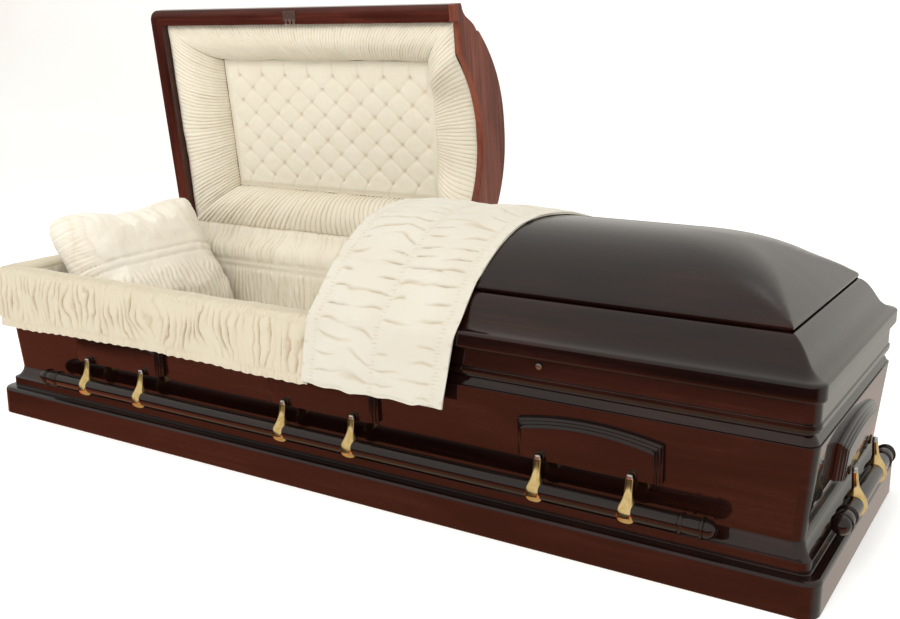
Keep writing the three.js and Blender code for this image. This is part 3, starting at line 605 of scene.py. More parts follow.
def lid_grid(profile, sign, start):
    hl, hw = LID_LENGTH / 2, LID_WIDTH / 2
    first = np.stack([np.full(len(profile), start), -(hw - profile[:, 0]), profile[:, 1]], 1)
    last = first * np.array([1, -1, 1])
    return np.concatenate([
        first[None],
        corner_rows(hl, hw, profile, sign, -1, False),
        corner_rows(hl, hw, profile, sign, 1, True),
        last[None],
    ])


CROWN_HALF = LID_WIDTH / 2 - CROWN_INSET


def crown_height(distance):
    """Height of the crown above its edge at a distance in from it."""
    share = np.clip(1 - distance / CROWN_HALF, 0, 1)
    return CROWN_RISE * (1 - share ** CROWN_FULLNESS)


def crown_piece(name, sign, start, place):
    """A hipped crown whose hips soften as they climb, with a shadow groove under its edge."""
    end = LID_LENGTH / 2 - CROWN_INSET
    span = end - abs(start)
    s = np.unique(np.concatenate([np.linspace(0, 1, 78), 1 - np.geomspace(0.002, 0.35, 24), [0.999]]))
    xs = abs(start) + span * s
    t = np.sign(np.linspace(-1, 1, 89)) * (1 - (1 - np.abs(np.linspace(-1, 1, 89))) ** 1.25)
    ys = CROWN_HALF * t
    x, y = np.meshgrid(xs, ys, indexing="ij")
    side, tip = CROWN_HALF - np.abs(y), end - x
    least = np.minimum(side, tip)
    soft = 0.012 + 0.075 * ease(least, 0.0, 0.09)
    overlap = np.clip(soft - np.abs(side - tip), 0, None) / soft
    distance = np.clip(least - overlap ** 2 * soft / 4 * ease(least, 0, 0.02), 0, None)
    z = LID_UNDERSIDE + CROWN_BASE + crown_height(distance) - 0.0016 * (1 - ease(least, 0, 0.0022))
    top = np.stack([sign * x, y, z], -1)
    below = top.copy()
    base = LID_UNDERSIDE + 0.0983
    inner = crown_height(distance) * (CROWN_RISE - CROWN_THICKNESS) / CROWN_RISE
    below[..., 2] = np.where(least > CROWN_THICKNESS, base + 0.009 + inner * 0.98, base)
    nu, nv = top.shape[:2]
    rim_i = ([(i, 0) for i in range(nu)] + [(nu - 1, j) for j in range(1, nv)]
             + [(i, nv - 1) for i in range(nu - 2, -1, -1)] + [(0, j) for j in range(nv - 2, 0, -1)])
    points, faces, uvs = [top.reshape(-1, 3)], [], []
    quads, cu, cv = grid_faces(nu, nv)
    lu, lv = arc_lengths(top, 0, False), arc_lengths(top, 1, False)
    faces += [list(f) for f in quads]
    uvs.append(np.stack([lu[cu], lv[cv]], -1).reshape(-1, 2))
    points.append(below.reshape(-1, 3))
    faces += [list(f + nu * nv)[::-1] for f in quads]
    uvs.append(np.stack([lu[cu], lv[cv]], -1)[:, ::-1].reshape(-1, 2))
    edge = np.array([top[i, j] for i, j in rim_i])
    inward = np.zeros_like(edge)
    for k, (i, j) in enumerate(rim_i):
        inward[k, 1] = (1 if j == 0 else -1 if j == nv - 1 else 0)
        inward[k, 0] = -sign if i == nu - 1 else 0
    levels = [(0.0, 0.1062), (0.0, 0.1030), (0.0012, 0.1020), (0.0042, 0.1018), (0.0042, 0.0983)]
    rows = [[i * nv + j for i, j in rim_i]]
    count = 2 * nu * nv
    for depth, height in levels:
        ring = edge + inward * depth
        ring[:, 2] = LID_UNDERSIDE + height
        points.append(ring)
        rows.append(list(range(count, count + len(ring))))
        count += len(ring)
    rows.append([nu * nv + i * nv + j for i, j in rim_i])
    side_faces, side_uvs = strips(rows, distances(edge), 0.003)
    return make(name, place(np.vstack(points)), faces + side_faces, np.vstack(uvs + side_uvs), sharp=38)


def header_outline():
    """The split end's whole profile with its arched opening, as (y, height) in metres."""
    half = LID_WIDTH / 2
    outer = [(half - 0.0034, 0), (half - 0.0010, 0.0014), (half, 0.0042)]
    outer += [(half - x * MM, z * MM) for x, z in ogee_line(22)]
    outer += [(half - 0.0746, 0.1000), (half - 0.0752, 0.1062), (half - 0.0765, 0.1088)]
    for d in np.linspace(0.004, CROWN_HALF, 30):
        outer.append((CROWN_HALF - d, CROWN_BASE + float(crown_height(d))))
    right = outer
    left = [(-y, z) for y, z in outer[:-1]][::-1]
    shelf = half - RIM_WIDTH + 0.002
    arch = [(-shelf, 0), (-shelf + 0.001, 0.010), (-shelf + 0.004, 0.018), (-shelf + 0.010, 0.020),
            (-0.221, 0.020)]
    for share in np.linspace(-1, 1, 41):
        arch.append((share * 0.213, 0.023 + 0.075 * (1 - share ** 2)))
    mirrored = [(-y, z) for y, z in arch[:5]][::-1]
    return np.array(right + left + arch + mirrored)


def header_piece(name, x_low, place):
    """The board across a lid's split end, with a small bevel round both faces."""
    line = header_outline()
    before, after = np.roll(line, 1, 0), np.roll(line, -1, 0)
    tangent = (after - before) / np.maximum(np.linalg.norm(after - before, axis=1, keepdims=True), 1e-9)
    inward = np.stack([-tangent[:, 1], tangent[:, 0]], 1)
    bevel = 0.0010
    rings = []
    for x, shrink in ((0, bevel), (bevel, 0), (HEADER - bevel, 0), (HEADER, bevel)):
        yz = line + inward * shrink
        rings.append(np.column_stack([np.full(len(line), x_low + x), yz[:, 0], LID_UNDERSIDE + yz[:, 1]]))
    n = len(line)
    faces = [list(range(n))[::-1], list(range(3 * n, 4 * n))]
    uvs = [rings[0][::-1][:, 1:], rings[3][:, 1:]]
    rows = [range(r * n, r * n + n) for r in range(4)]
    side_faces, side_uvs = strips(rows, distances(line), 0.006)
    return make(name, place(np.vstack(rings)), faces + side_faces, np.vstack(uvs + side_uvs), sharp=30)


def add_lid(label, body, sign, start, header_low, place):
    rim = swept(f"{label}_rim_moulding", place(lid_grid(rim_profile(), sign, start)), sharp=42, across=0.4)
    # The head lid's rim takes the lighter rim wood, painted light; the foot lid's rim takes the mahogany.
    finish_piece(rim, body, "mahogany", mahogany if sign > 0 else rim_wood_lit, f"{label}_rim")
    crown = crown_piece(f"{label}_crown_panel", sign, start, place)
    finish_piece(crown, body, "mahogany", mahogany, f"{label}_crown")
    header = header_piece(f"{label}_header_board", header_low, place)
    # The headers take the lighter split-end wood: painted light.
    finish_piece(header, body, "mahogany", header_lit_wood, f"{label}_header")


HEAD_START = HEAD_SPLIT - HEADER - GAP
FOOT_START = FOOT_SPLIT + HEADER + GAP
add_lid("foot_lid", "foot_lid", 1, FOOT_START, FOOT_SPLIT, lambda p: p)
add_lid("head_lid", "head_lid", -1, HEAD_START, HEAD_SPLIT - HEADER, opened)


# Raised arched panels with a fluted edge

PANEL_LAYERS = [
    (0, 0), (0, 6.4), (0.5, 7.4), (1.3, 7.9), (4.0, 8.9), (4.5, 9.5), (4.6, 11.8), (5.1, 12.6), (5.9, 13.0),
    (8.4, 13.9), (8.9, 14.5), (9.0, 16.2), (9.5, 17.0), (10.3, 17.3), (12.9, 18.2), (13.5, 19.0),
    (14.3, 19.8), (15.2, 20.0),
]


def panel_outline(shrink):
    half = 148 - shrink
    points = [(x, 62.0) for x in np.linspace(-half, half, 5)]
    for share in np.linspace(1, -1, 29):
        points.append((share * half, 135 + 16 * (1 - share ** 2) - shrink))
    return np.array(points) * MM


def add_panel(name, side, centre):
    rings = []
    for shrink, out in PANEL_LAYERS:
        line = panel_outline(shrink)
        rings.append(np.column_stack([line[:, 0], np.full(len(line), -out * MM - GAP), line[:, 1]]))
    grid = np.array(rings)
    c, s = math.cos(WALL_LEAN), math.sin(WALL_LEAN)
    y, z = grid[..., 1].copy(), grid[..., 2].copy()
    grid[..., 1] = y * c - z * s - face_distance(side) + WALL_FOOT_INSET
    grid[..., 2] = y * s + z * c + WALL_FOOT
    grid[..., 0] += centre
    n = grid.shape[1]
    layers = len(rings)
    faces, cu, cv = grid_faces(layers, n, False, True)
    lu, lv = arc_lengths(grid, 0, False), arc_lengths(grid, 1, True)
    uvs = [np.stack([lv[cv], lu[cu] * 0.4], -1).reshape(-1, 2)]
    faces = [list(f) for f in faces]
    for ring, order in ((0, 1), (layers - 1, -1)):
        faces.append([ring * n + k for k in range(n)][::order])
        flat = grid[ring][::order]
        uvs.append(np.stack([flat[:, 0] + 3 * centre, flat[:, 2] + 0.37 * centre], 1))
    piece = make(f"{name}_moulding", turned(grid.reshape(-1, 3), side), faces, np.vstack(uvs), sharp=34)
    return finish_piece(piece, "casket", "mahogany", mahogany, name)


SIDE_CENTRES = (-PANEL_SPACING, 0.0, PANEL_SPACING)
for side in ("front", "back"):
    for k, centre in enumerate(SIDE_CENTRES):
        add_panel(f"arched_panel_{side}_{k + 1}", side, centre)
for side in ("head", "foot"):
    add_panel(f"arched_panel_{side}", side, 0.0)


# Swing-bar handles

def lathe(profile, sides):
    """Points of (distance along X, radius) turned about the X axis. The line starts and ends on the axis."""
    angle = round_angles(sides)
    grid = np.stack([
        np.broadcast_to(profile[:, :1], (len(profile), sides)),
        profile[:, 1:] * np.cos(angle),
        profile[:, 1:] * np.sin(angle),
    ], -1)
    return grid


def bar_profile(length):
    """Half a bar and its mirror image: a rounded cap, two rings with a neck between, and the shaft."""
    half = length / 2
    quarter = np.linspace(0, math.pi / 2, 9)
    cap = [(half - 20 * MM * (1 - math.cos(a)), 18.6 * MM * math.sin(a)) for a in quarter]
    shape = [
        (21.0, 18.2), (21.8, 17.0), (22.4, 17.2), (23.2, 19.4), (24.6, 20.6), (26.0, 20.9),
        (27.4, 20.4), (28.6, 19.0), (29.2, 17.6), (30.0, 17.2), (31.0, 17.6), (45.0, 18.0),
        (59.5, 17.6), (60.4, 17.2), (61.2, 17.8), (62.4, 19.8), (64.2, 20.8), (66.0, 20.8),
        (67.6, 19.8), (68.8, 18.0), (69.6, 17.2), (70.4, 17.2), (71.2, 17.9), (72.4, 18.0),
    ]
    end = np.array(cap + [(half - x * MM, r * MM) for x, r in shape])
    other = end * np.array([-1, 1])
    return np.vstack([other, end[::-1]])


def add_bar(side, body, length):
    grid = lathe(bar_profile(length), 40)
    grid[..., 1] += -face_distance(side) + PIVOT_INSET - BAR_OUTBOARD
    grid[..., 2] += BAR_Z
    nu, nv = grid.shape[:2]
    faces, cu, cv = grid_faces(nu, nv, False, True)
    lu, lv = arc_lengths(grid, 0, False), np.linspace(0, 0.113, nv + 1)
    uvs = np.stack([lu[cu], lv[cv]], -1).reshape(-1, 2)
    piece = make(f"bar_{side}_turned", turned(grid.reshape(-1, 3), side), faces, uvs, sharp=50, weld=True)
    return finish_piece(piece, body, "bar_wood", turned_wood, f"bar_{side}")


ARM_ROWS = [
    # share of the drop, half width, front half depth, back half depth, in millimetres
    (0.035, 8.0, 5.4, 5.4), (0.06, 8.6, 6.0, 5.6), (0.20, 8.4, 6.0, 5.6), (0.34, 8.3, 6.6, 5.6),
    (0.46, 8.8, 8.2, 5.8), (0.56, 10.2, 10.6, 6.6), (0.65, 12.4, 13.8, 9.0), (0.73, 14.8, 16.8, 12.8),
    (0.81, 17.2, 19.2, 16.6), (0.89, 19.4, 20.8, 19.6), (0.96, 20.8, 21.6, 21.0), (1.03, 21.6, 22.0, 21.4),
    (1.08, 21.9, 22.2, 21.4), (1.105, 22.0, 22.3, 21.2), (1.125, 21.2, 21.0, 20.6), (1.16, 20.8, 20.0, 19.6),
    (1.22, 20.2, 18.2, 17.6), (1.28, 18.8, 15.4, 14.4), (1.33, 16.4, 12.0, 10.4), (1.365, 13.0, 8.2, 6.6),
    (1.38, 9.0, 5.0, 3.6),
]


def arm_points(x):
    """An arm about its pivot as a stack of rounded outlines, top to bottom."""
    drop = PIVOT_Z - BAR_Z
    sides = 28
    angle = round_angles(sides)
    rows = []
    for share, wide, fore, aft in spline(ARM_ROWS, 44):
        across = np.sign(np.cos(angle)) * np.abs(np.cos(angle)) ** 0.8 * wide * MM
        depth = np.where(np.sin(angle) < 0, fore, aft) * MM * np.sin(angle)
        rows.append(np.stack([x + across, -BAR_OUTBOARD * share + depth, np.full(sides, -drop * share)], 1))
    return np.array(rows)


def add_arm(side, body, k, x):
    """A cast arm with a flat shoulder, and a bright pivot cap that rises from it."""
    lift = np.array([0, -face_distance(side) + PIVOT_INSET, PIVOT_Z])
    piece = tube(f"arm_{side}_{k}_cast", turned(arm_points(x) + lift, side), sharp=50)
    finish_piece(piece, body, "brass", brass, f"arm_{side}_{k}")
    rows = [(7.2, -3.0), (7.2, -1.6), (6.4, -0.8), (6.3, 2.0), (6.0, 4.4), (4.6, 5.9), (2.4, 6.4),
            (0.05, 6.5)]
    angle = round_angles(20)
    cap = np.array([np.stack([x + r * MM * np.cos(angle), np.minimum(r, 6.2) * 0.86 * MM * np.sin(angle),
                              np.full(len(angle), z * MM)], 1) for r, z in rows]) + lift
    piece = tube(f"arm_cap_{side}_{k}", turned(cap, side), sharp=50)
    return finish_piece(piece, body, "steel", bright_steel)


def box_points(low, high, bevel):
    """A bevelled block as three stacked outlines in X and Y, bottom to top."""
    (x0, y0, z0), (x1, y1, z1) = low, high

    def outline(shrink, z):
        b = bevel
        a = [(x0 + b, y0 + shrink), (x1 - b, y0 + shrink), (x1 - shrink, y0 + b), (x1 - shrink, y1 - b),
             (x1 - b, y1 - shrink), (x0 + b, y1 - shrink), (x0 + shrink, y1 - b), (x0 + shrink, y0 + b)]
        return [(x, y, z) for x, y in a]
    return np.array([outline(bevel * 0.7, z0), outline(0, z0 + bevel), outline(0, z1 - bevel),
                     outline(bevel * 0.7, z1)])


def block(name, low, high, bevel, place=lambda p: p):
    return tube(name, place(box_points(low, high, bevel)), sharp=30)


def add_boss(side, k, x):
    """The round boss on the panel's face behind an arm's pivot, coloured dark: painted shade, standing in
    for the shadow behind the pivot.
    """
    face = PANEL_THICKNESS + BOSS_PROUD
    rows = [(-2.8, 9.6), (-1.6, 9.6), (-0.8, 9.2), (-0.2, 8.2), (0.0, 6.8), (-0.2, 6.2), (-0.2, 0.05)]
    angle = round_angles(24)
    c, s = math.cos(WALL_LEAN), math.sin(WALL_LEAN)
    height = (PIVOT_Z - WALL_FOOT + face * s) / c
    grid = []
    for out, radius in rows:
        depth = -(face + out * MM) - GAP
        z = height + radius * MM * np.sin(angle)
        y = depth * c - z * s - face_distance(side) + WALL_FOOT_INSET
        grid.append(np.stack([x + radius * MM * np.cos(angle), y, depth * s + z * c + WALL_FOOT], 1))
    boss = tube(f"boss_{side}_{k}", turned(np.array(grid), side), sharp=40)
    finish_piece(boss, "casket", "steel", boss_shade_metal)


def add_handle(side, length, centres):
    body = f"{side}_handle"
    add_bar(side, body, length)
    xs = [centre + sign * ARM_SPACING / 2 for centre in centres for sign in (-1, 1)]
    for k, x in enumerate(xs):
        add_arm(side, body, k + 1, x)
        add_boss(side, k + 1, x)


for side in ("front", "back"):
    add_handle(side, 1.776, SIDE_CENTRES)
for side in ("head", "foot"):
    add_handle(side, 0.450, (0.0,))


# Cloth

def lid_cloth(name, surface, lift, thickness, values, stride_v=STRIDE):
    """A cloth in the open head lid: a surface pushed down along its own normal, with a plain back above."""
    normal = -grid_normals(surface)
    front = surface + normal * lift[..., None]
    back = surface - normal * thickness
    return shell(name, opened(front), opened(back), values, stride_v)


def split_cloth(parts, front, back, values, stride_v):
    """One cloth in parts, each a run of its rows. Neighbours share the row where they meet."""
    return [shell(name, front[:, rows], back[:, rows], values[:, rows], stride_v) for name, rows in parts]


def count_for(length, step):
    """How many grid points give about this step, with a whole number of strides between them."""
    return int(math.ceil(length / step / STRIDE)) * STRIDE + 1


# Head lid: gathered border and tufted panel

BORDER_LOW, BORDER_HIGH = -1.0015, HEAD_START - 0.0010
BORDER_HALF_WIDTH = LID_WIDTH / 2 - RIM_WIDTH - 0.0015
SEAM_LOW, SEAM_HIGH, SEAM_HALF = -0.856, -0.1413, 0.1870
SEAM_HEIGHT = 0.080


def side_line(side, low, high, half):
    """One side of a rectangle as its two ends in plan."""
    return np.array({"front": ((low, -half), (high, -half)), "back": ((high, half), (low, half)),
                     "head": ((low, half), (low, -half)), "foot": ((high, -half), (high, half))}[side])


def add_border(side, seed):
    """One side of the gathered border, from the rim in to the tufted panel's seam."""
    outer = side_line(side, BORDER_LOW, BORDER_HIGH, BORDER_HALF_WIDTH)
    inner = side_line(side, SEAM_LOW, SEAM_HIGH, SEAM_HALF)
    length = np.linalg.norm(outer[1] - outer[0])
    nu = count_for(length, 0.0016)
    profile = [(0, 0.021), (0.05, 0.018), (0.18, 0.013), (0.36, 0.0102), (0.56, 0.016), (0.74, 0.031),
               (0.88, 0.048), (0.96, 0.066), (1.0, SEAM_HEIGHT)]
    if side == "back":
        profile = [(0, 0.010), (0.05, 0.004), (0.2, 0.0005), (0.42, 0.001), (0.64, 0.0085),
                   (0.82, 0.024), (0.93, 0.044), (0.985, 0.066), (1.0, SEAM_HEIGHT)]
    profile = spline(profile, 36)
    pitch = {"front": 0.0106, "back": 0.0190, "head": 0.0130, "foot": 0.0120}[side]
    depth = {"front": 0.0030, "back": 0.0062, "head": 0.0034, "foot": 0.0024}[side]
    s = np.linspace(0, 1, nu)[:, None]
    t, z = profile[:, 0][None], profile[:, 1][None]
    lines_out = outer[0] + (outer[1] - outer[0]) * s
    lines_in = inner[0] + (inner[1] - inner[0]) * s
    xy = lines_out[:, None] * (1 - t[..., None]) + lines_in[:, None] * t[..., None]
    z = np.broadcast_to(z, (nu, len(profile)))
    if side == "foot":
        arch = 0.026 + 0.075 * np.clip(1 - (lines_out[:, 1:] / 0.213) ** 2, 0, 1)
        level = arch * (1 - t) + SEAM_HEIGHT * t - 0.012 * np.sin(math.pi * t)
        share = ease(arch, 0.026, 0.085)
        z = (z + (arch - 0.026) * (1 - t) ** 2) * (1 - share) + level * share
    surface = np.concatenate([xy, (LID_UNDERSIDE + z)[..., None]], 2)
    across = arc_lengths(surface, 1, False)[None]
    along = s * length
    across = across / across.max()
    wander = 0.30 * fractal(along * 9, across * 1.2, seed) + 0.06 * fractal(along * 40, across * 4, seed + 5)
    lean = 0.4 * ease(across, 0.55, 1.0) * value_noise(along * 5, across * 0 + 0.5, seed + 9)
    phase = along / pitch + wander * 0.0106 / pitch + lean
    deep = 0.68 + 0.32 * value_noise(phase * 0.9, across * 1.8, seed + 3)
    body_share = ease(across, 0.0, 0.10) * (1 - 0.45 * ease(across, 0.9, 1.0))
    fold = ridges(phase, 0.6)
    puff = 0.0016 * fractal(along * 14, across * 2, seed + 7)
    corner = ease(s, 0.0, 0.012) * ease(1 - s, 0.0, 0.012)
    lift = (depth * fold * deep * body_share + puff) * corner - 0.0012
    # Painted shade: darker in the fold valleys and lighter where the folds are shallow. The row at the inner
    # edge is also darker along the seam.
    values = 0.04 + 0.96 * fold + 0.25 * (1 - np.clip(deep * 1.25, 0, 1))
    values = np.clip(values, 0, 1) * np.where(across > 0.985, 0.55, 1.0)
    piece = lid_cloth(f"head_lid_border_{side}", surface, lift, 0.004, values * np.ones_like(lift), 7)
    finish_piece(piece, "head_lid", "cloth", cloth, "head_lid_border")


for number, side in enumerate(("front", "back", "head", "foot")):
    add_border(side, 20 + 10 * number)


def tufts():
    """The places of the tufts on the lid's panel: nine rows, each set half a pitch from the last."""
    pitch, row_gap = 0.0845, 0.0362
    places = []
    for row in range(9):
        y = SEAM_HALF - 0.0405 - row * row_gap
        shift = 0.5 * (row % 2)
        x = SEAM_LOW + 0.030 + pitch * (0.30 + shift)
        while x < SEAM_HIGH - 0.018:
            places.append((x, y, row))
            x += pitch
    return places, pitch, row_gap


def add_tufted_panel():
    """The lid's tufted panel and the buttons in its pits."""
    nu, nv = count_for(SEAM_HIGH - SEAM_LOW, 0.0027), count_for(2 * SEAM_HALF, 0.0027)
    line_x, line_y = np.linspace(SEAM_LOW, SEAM_HIGH, nu), np.linspace(-SEAM_HALF, SEAM_HALF, nv)
    x, y = np.meshgrid(line_x, line_y, indexing="ij")
    places, pitch, row_gap = tufts()
    first = min(p[1] for p in places)
    last = max(p[1] for p in places)
    origin_x = SEAM_LOW + 0.030 + pitch * 0.30
    along = (x - origin_x + 0.0016 * fractal(x * 20, y * 20, 71)) / pitch
    down = (last - y + 0.0012 * fractal(x * 20, y * 20, 75)) / (2 * row_gap)
    inside = ease(y, first - 0.3 * row_gap, first + 0.2 * row_gap)
    inside = inside * (1 - ease(y, last - 0.2 * row_gap, last + 0.3 * row_gap))
    net = (np.abs(np.sin(np.pi * (along + down))) * np.abs(np.sin(np.pi * (along - down)))) ** 0.26
    pit = np.zeros_like(x)
    near = np.zeros_like(x)
    pleat = np.zeros_like(x)
    random = np.random.default_rng(5)
    for tx, ty, row in places:
        r = np.hypot(x - tx, y - ty)
        pit += np.exp(-(r / 0.0042) ** 1.3)
        near += np.exp(-(r / 0.021) ** 2)
        if row in (0, 8):
            out = 1 if row == 0 else -1
            reach = SEAM_HALF - abs(ty)
            run = np.clip((y - ty) * out / reach, 0, 1)
            lean = (-0.021 if row == 0 else -0.002) + random.uniform(-0.003, 0.003)
            off = x - tx - lean * run
            pleat += np.exp(-(off / (0.0020 + 0.0015 * run)) ** 2) * ((y - ty) * out > 0) * (1 - 0.4 * run)
    net = 1 - (1 - net) * inside * (0.45 + 0.55 * np.clip(near, 0, 1))
    edge = np.minimum(np.minimum(x - SEAM_LOW, SEAM_HIGH - x), SEAM_HALF - np.abs(y))
    hold = ease(edge, 0, 0.02)
    crease = 0.0006 * fractal(x * 50, y * 50, 81) + 0.0006 * np.abs(fractal(x * 120, y * 30, 85))
    pit = np.clip(pit, 0, 1)
    lift = 0.0062 * net * (0.35 + 0.65 * hold) - 0.0040 * pit - 0.0034 * pleat + crease
    lift = lift * (0.4 + 0.6 * hold)
    surface = np.stack([x, y, np.full_like(x, LID_UNDERSIDE + SEAM_HEIGHT + 0.002)], -1)
    # Painted shade: darker in the pits and along the pleats, lighter on the puffs. The next line also
    # darkens the last 3 mm at the edges.
    values = np.clip(0.52 + 0.48 * net - 0.50 * pit - 0.52 * pleat, 0, 1)
    values = values * (0.7 + 0.3 * ease(edge, 0, 0.003))
    piece = lid_cloth("head_lid_tufting", surface, lift, 0.010, values)
    finish_piece(piece, "head_lid", "cloth", cloth, "head_lid_tufted_panel")
    buttons = []
    faces = []
    sides, rows = 10, 4
    for tx, ty, _ in places:
        for k in range(rows):
            a = (k + 1) / rows * 1.45
            r, h = 0.0026 * math.sin(a), 0.0016 * math.cos(a)
            for i in range(sides):
                w = 2 * math.pi * i / sides
                z = LID_UNDERSIDE + SEAM_HEIGHT + 0.0040 - h
                buttons.append((tx + r * math.cos(w), ty + r * math.sin(w), z))
        base = len(buttons) - rows * sides
        faces.append([base + i for i in range(sides)])
        for k in range(rows - 1):
            for i in range(sides):
                j = (i + 1) % sides
                faces.append([base + k * sides + i, base + k * sides + j, base + (k + 1) * sides + j,
                              base + (k + 1) * sides + i])
        faces.append([base + (rows - 1) * sides + i for i in range(sides)][::-1])
    piece = make("tufting_buttons", opened(np.array(buttons)), faces, values=np.full(len(buttons), 0.55))
    finish_piece(piece, "head_lid", "cloth", cloth)


add_tufted_panel()


# Body linings: gathered cloth with shirred rows


def gathers(along, down, seed, rows, spacing=0.015, depth=0.006):
    """Lift and fold values of gathered cloth, the values painted shade that is darker between the folds.
    rows are shirred lines, as distances down from the top.
    """
    hold = np.zeros_like(down)
    for row in rows:
        hold = np.maximum(hold, bump_at(down, row, 0.0075))
    fine = along / (spacing * 0.42) + 0.5 * fractal(along * 25, down * 20, seed)
    broad = along / spacing + 0.75 * fractal(along * 14, down * 7, seed + 4)
    broad = broad + 0.25 * fractal(along * 45, down * 16, seed + 8)
    size = 0.45 + 0.55 * value_noise(broad * 0.8, down * 16, seed + 12)
    big = ridges(broad, 0.8) * np.clip(size, 0.08, 1)
    small = ridges(fine, 0.8)
    fold = big * (1 - hold) + small * 0.40 * hold
    lift = depth * fold * (1 - 0.55 * hold) - 0.0025 * hold
    lift = lift + 0.0018 * fractal(along * 10, down * 9, seed + 20)
    shade = (1 - ridges(broad, 0.8)) * np.clip(size + 0.2, 0, 1) * (1 - hold) + 0.7 * (1 - small) * hold
    values = np.clip(1 - 0.75 * shade, 0, 1)
    return lift, values


BACK_PATH = [(0.3350, 0.4315), (0.3280, 0.4240), (0.3190, 0.4090), (0.3060, 0.3945), (0.2885, 0.3838),
             (0.2790, 0.3720), (0.2745, 0.3560), (0.2718, 0.3200), (0.2705, 0.2600), (0.2700, 0.2000),
             (0.2690, 0.1530)]


def add_back_lining():
    """One gathered cloth down the back wall, whose top strip crosses to the lid."""
    half = BODY_LENGTH / 2 - LINING_INSET + 0.006
    x_high = HEAD_START - 0.004
    length = x_high + half
    nu, nv = count_for(length, 0.0021), 61
    path = spline(BACK_PATH, nv)
    x = np.linspace(-half, x_high, nu)
    along, down = np.meshgrid(x, arc_lengths(path[None, :, :], 1, False), indexing="ij")
    across, height = np.broadcast_to(path[:, 0], along.shape), np.broadcast_to(path[:, 1], along.shape)
    surface = np.stack([along, across, height], -1)
    lift, values = gathers(along, down, 140, (0.118, 0.134), 0.0165, 0.0072)
    seam = ease(down, 0, 0.010)
    lift = lift * seam - 0.002 * (1 - seam)
    values = values * (0.7 + 0.3 * ease(down, 0, 0.003))
    normal = grid_normals(surface)
    if normal[..., 1].mean() > 0:
        normal = -normal
    front = surface + normal * lift[..., None]
    back = surface - normal * 0.0012
    split = 20
    parts = (("hinge_cloth", slice(0, split + 1)), ("lining_back_gathered", slice(split, nv)))
    made = split_cloth(parts, front, back, values, 5)
    for piece in made:
        piece.data.materials.append(cloth)
    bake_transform(made[0])
    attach(made[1], "casket")
    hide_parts("lining_back")


add_back_lining()


PLAIN_SHIRRING = (0.085, 0.101)
LINING_FOOT = 0.1525


def add_plain_lining(name, start, end, top, inward, seed, node):
    """Gathered cloth on one inner wall of the body, between two points of its foot line."""
    start, end, inward = np.array(start), np.array(end), np.array(inward)
    length = float(np.linalg.norm(end - start))
    nu, nv = count_for(length, 0.0036), 37
    s = np.linspace(0, length, nu)
    z = np.linspace(top, LINING_FOOT, nv)
    along, down = np.meshgrid(s, top - z, indexing="ij")
    base = start + (end - start) * (along / length)[..., None]
    surface = np.concatenate([base, np.broadcast_to(z, along.shape)[..., None]], 2)
    lift, values = gathers(along, down, seed, PLAIN_SHIRRING)
    seam = ease(down, 0, 0.010)
    lift = lift * seam
    front = surface + np.append(inward, 0) * lift[..., None]
    back = surface - np.append(inward, 0) * 0.0012
    piece = shell(name, front, back, values)
    finish_piece(piece, "casket", "cloth", cloth, node)


INNER_X = BODY_LENGTH / 2 - LINING_INSET
INNER_Y = BODY_WIDTH / 2 - LINING_INSET
OUTER_X, OUTER_Y = INNER_X + 0.002, INNER_Y + 0.002
add_plain_lining("lining_front_gathered", (-INNER_X, -OUTER_Y), (INNER_X, -OUTER_Y), 0.379, (0, 1), 210,
                 "lining_front")
add_plain_lining("lining_head_gathered", (-OUTER_X, INNER_Y), (-OUTER_X, -INNER_Y), 0.379, (1, 0), 230,
                 "lining_head")
add_plain_lining("lining_foot_gathered", (OUTER_X, -INNER_Y), (OUTER_X, INNER_Y), 0.3775, (-1, 0), 250,
                 "lining_foot")
add_plain_lining("lining_back_foot_half", (HEAD_START + 0.002, OUTER_Y), (INNER_X, OUTER_Y), 0.3775, (0, -1),
                 270, "lining_back")


def add_bed():
    """The bed's quilted top with a soft rounded edge."""
    low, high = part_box("bed")
    nx, ny = 145, 55
    u, v = np.meshgrid(np.linspace(-1, 1, nx), np.linspace(-1, 1, ny), indexing="ij")
    cx, hx, hy = (low.x + high.x) / 2, (high.x - low.x) / 2, (high.y - low.y) / 2
    x, y = cx + hx * u, hy * v
    edge = np.minimum(hx - np.abs(x - cx), hy - np.abs(y))
    round_edge = 0.030 * (1 - np.sqrt(np.clip(1 - (1 - np.clip(edge / 0.035, 0, 1)) ** 2, 0, 1)))
    quilt = (np.abs(np.sin(np.pi * (x + y) / 0.11)) * np.abs(np.sin(np.pi * (x - y) / 0.11))) ** 0.4
    z = high.z - 0.001 - round_edge - 0.006 * (1 - quilt) * ease(edge, 0.0, 0.05)
    z = z + 0.0012 * fractal(x * 14, y * 14, 301)
    front = np.stack([x, y, np.minimum(z, high.z)], -1)
    back = front.copy()
    back[..., 2] = low.z
    # The quilt values are painted shade, darker along the quilted lines.
    piece = shell("bed_quilt", front, back, 0.5 + 0.5 * quilt)
    finish_piece(piece, "casket", "cloth", cloth, "bed")


add_bed()


def add_foot_lid_lining():
    """The gathered cloth under the foot lid, with three shirred rows."""
    low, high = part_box("foot_lid_lining")
    nx, ny = 181, 73
    x, y = np.meshgrid(np.linspace(low.x, high.x, nx), np.linspace(low.y, high.y, ny), indexing="ij")
    down = y - low.y
    lift, values = gathers(x, down, 320, (0.09, 0.26, 0.43), 0.018, 0.006)
    edge = ease(np.minimum(down, high.y - y), 0, 0.012)
    front = np.stack([x, y, low.z + 0.007 - lift * edge], -1)
    back = front.copy()
    back[..., 2] = high.z
    piece = shell("foot_lid_gathered", front, back, values)
    finish_piece(piece, "foot_lid", "cloth", cloth, "foot_lid_lining")


add_foot_lid_lining()


# The skirt over the front and head rails: a roll on the rail, and a drop outside it

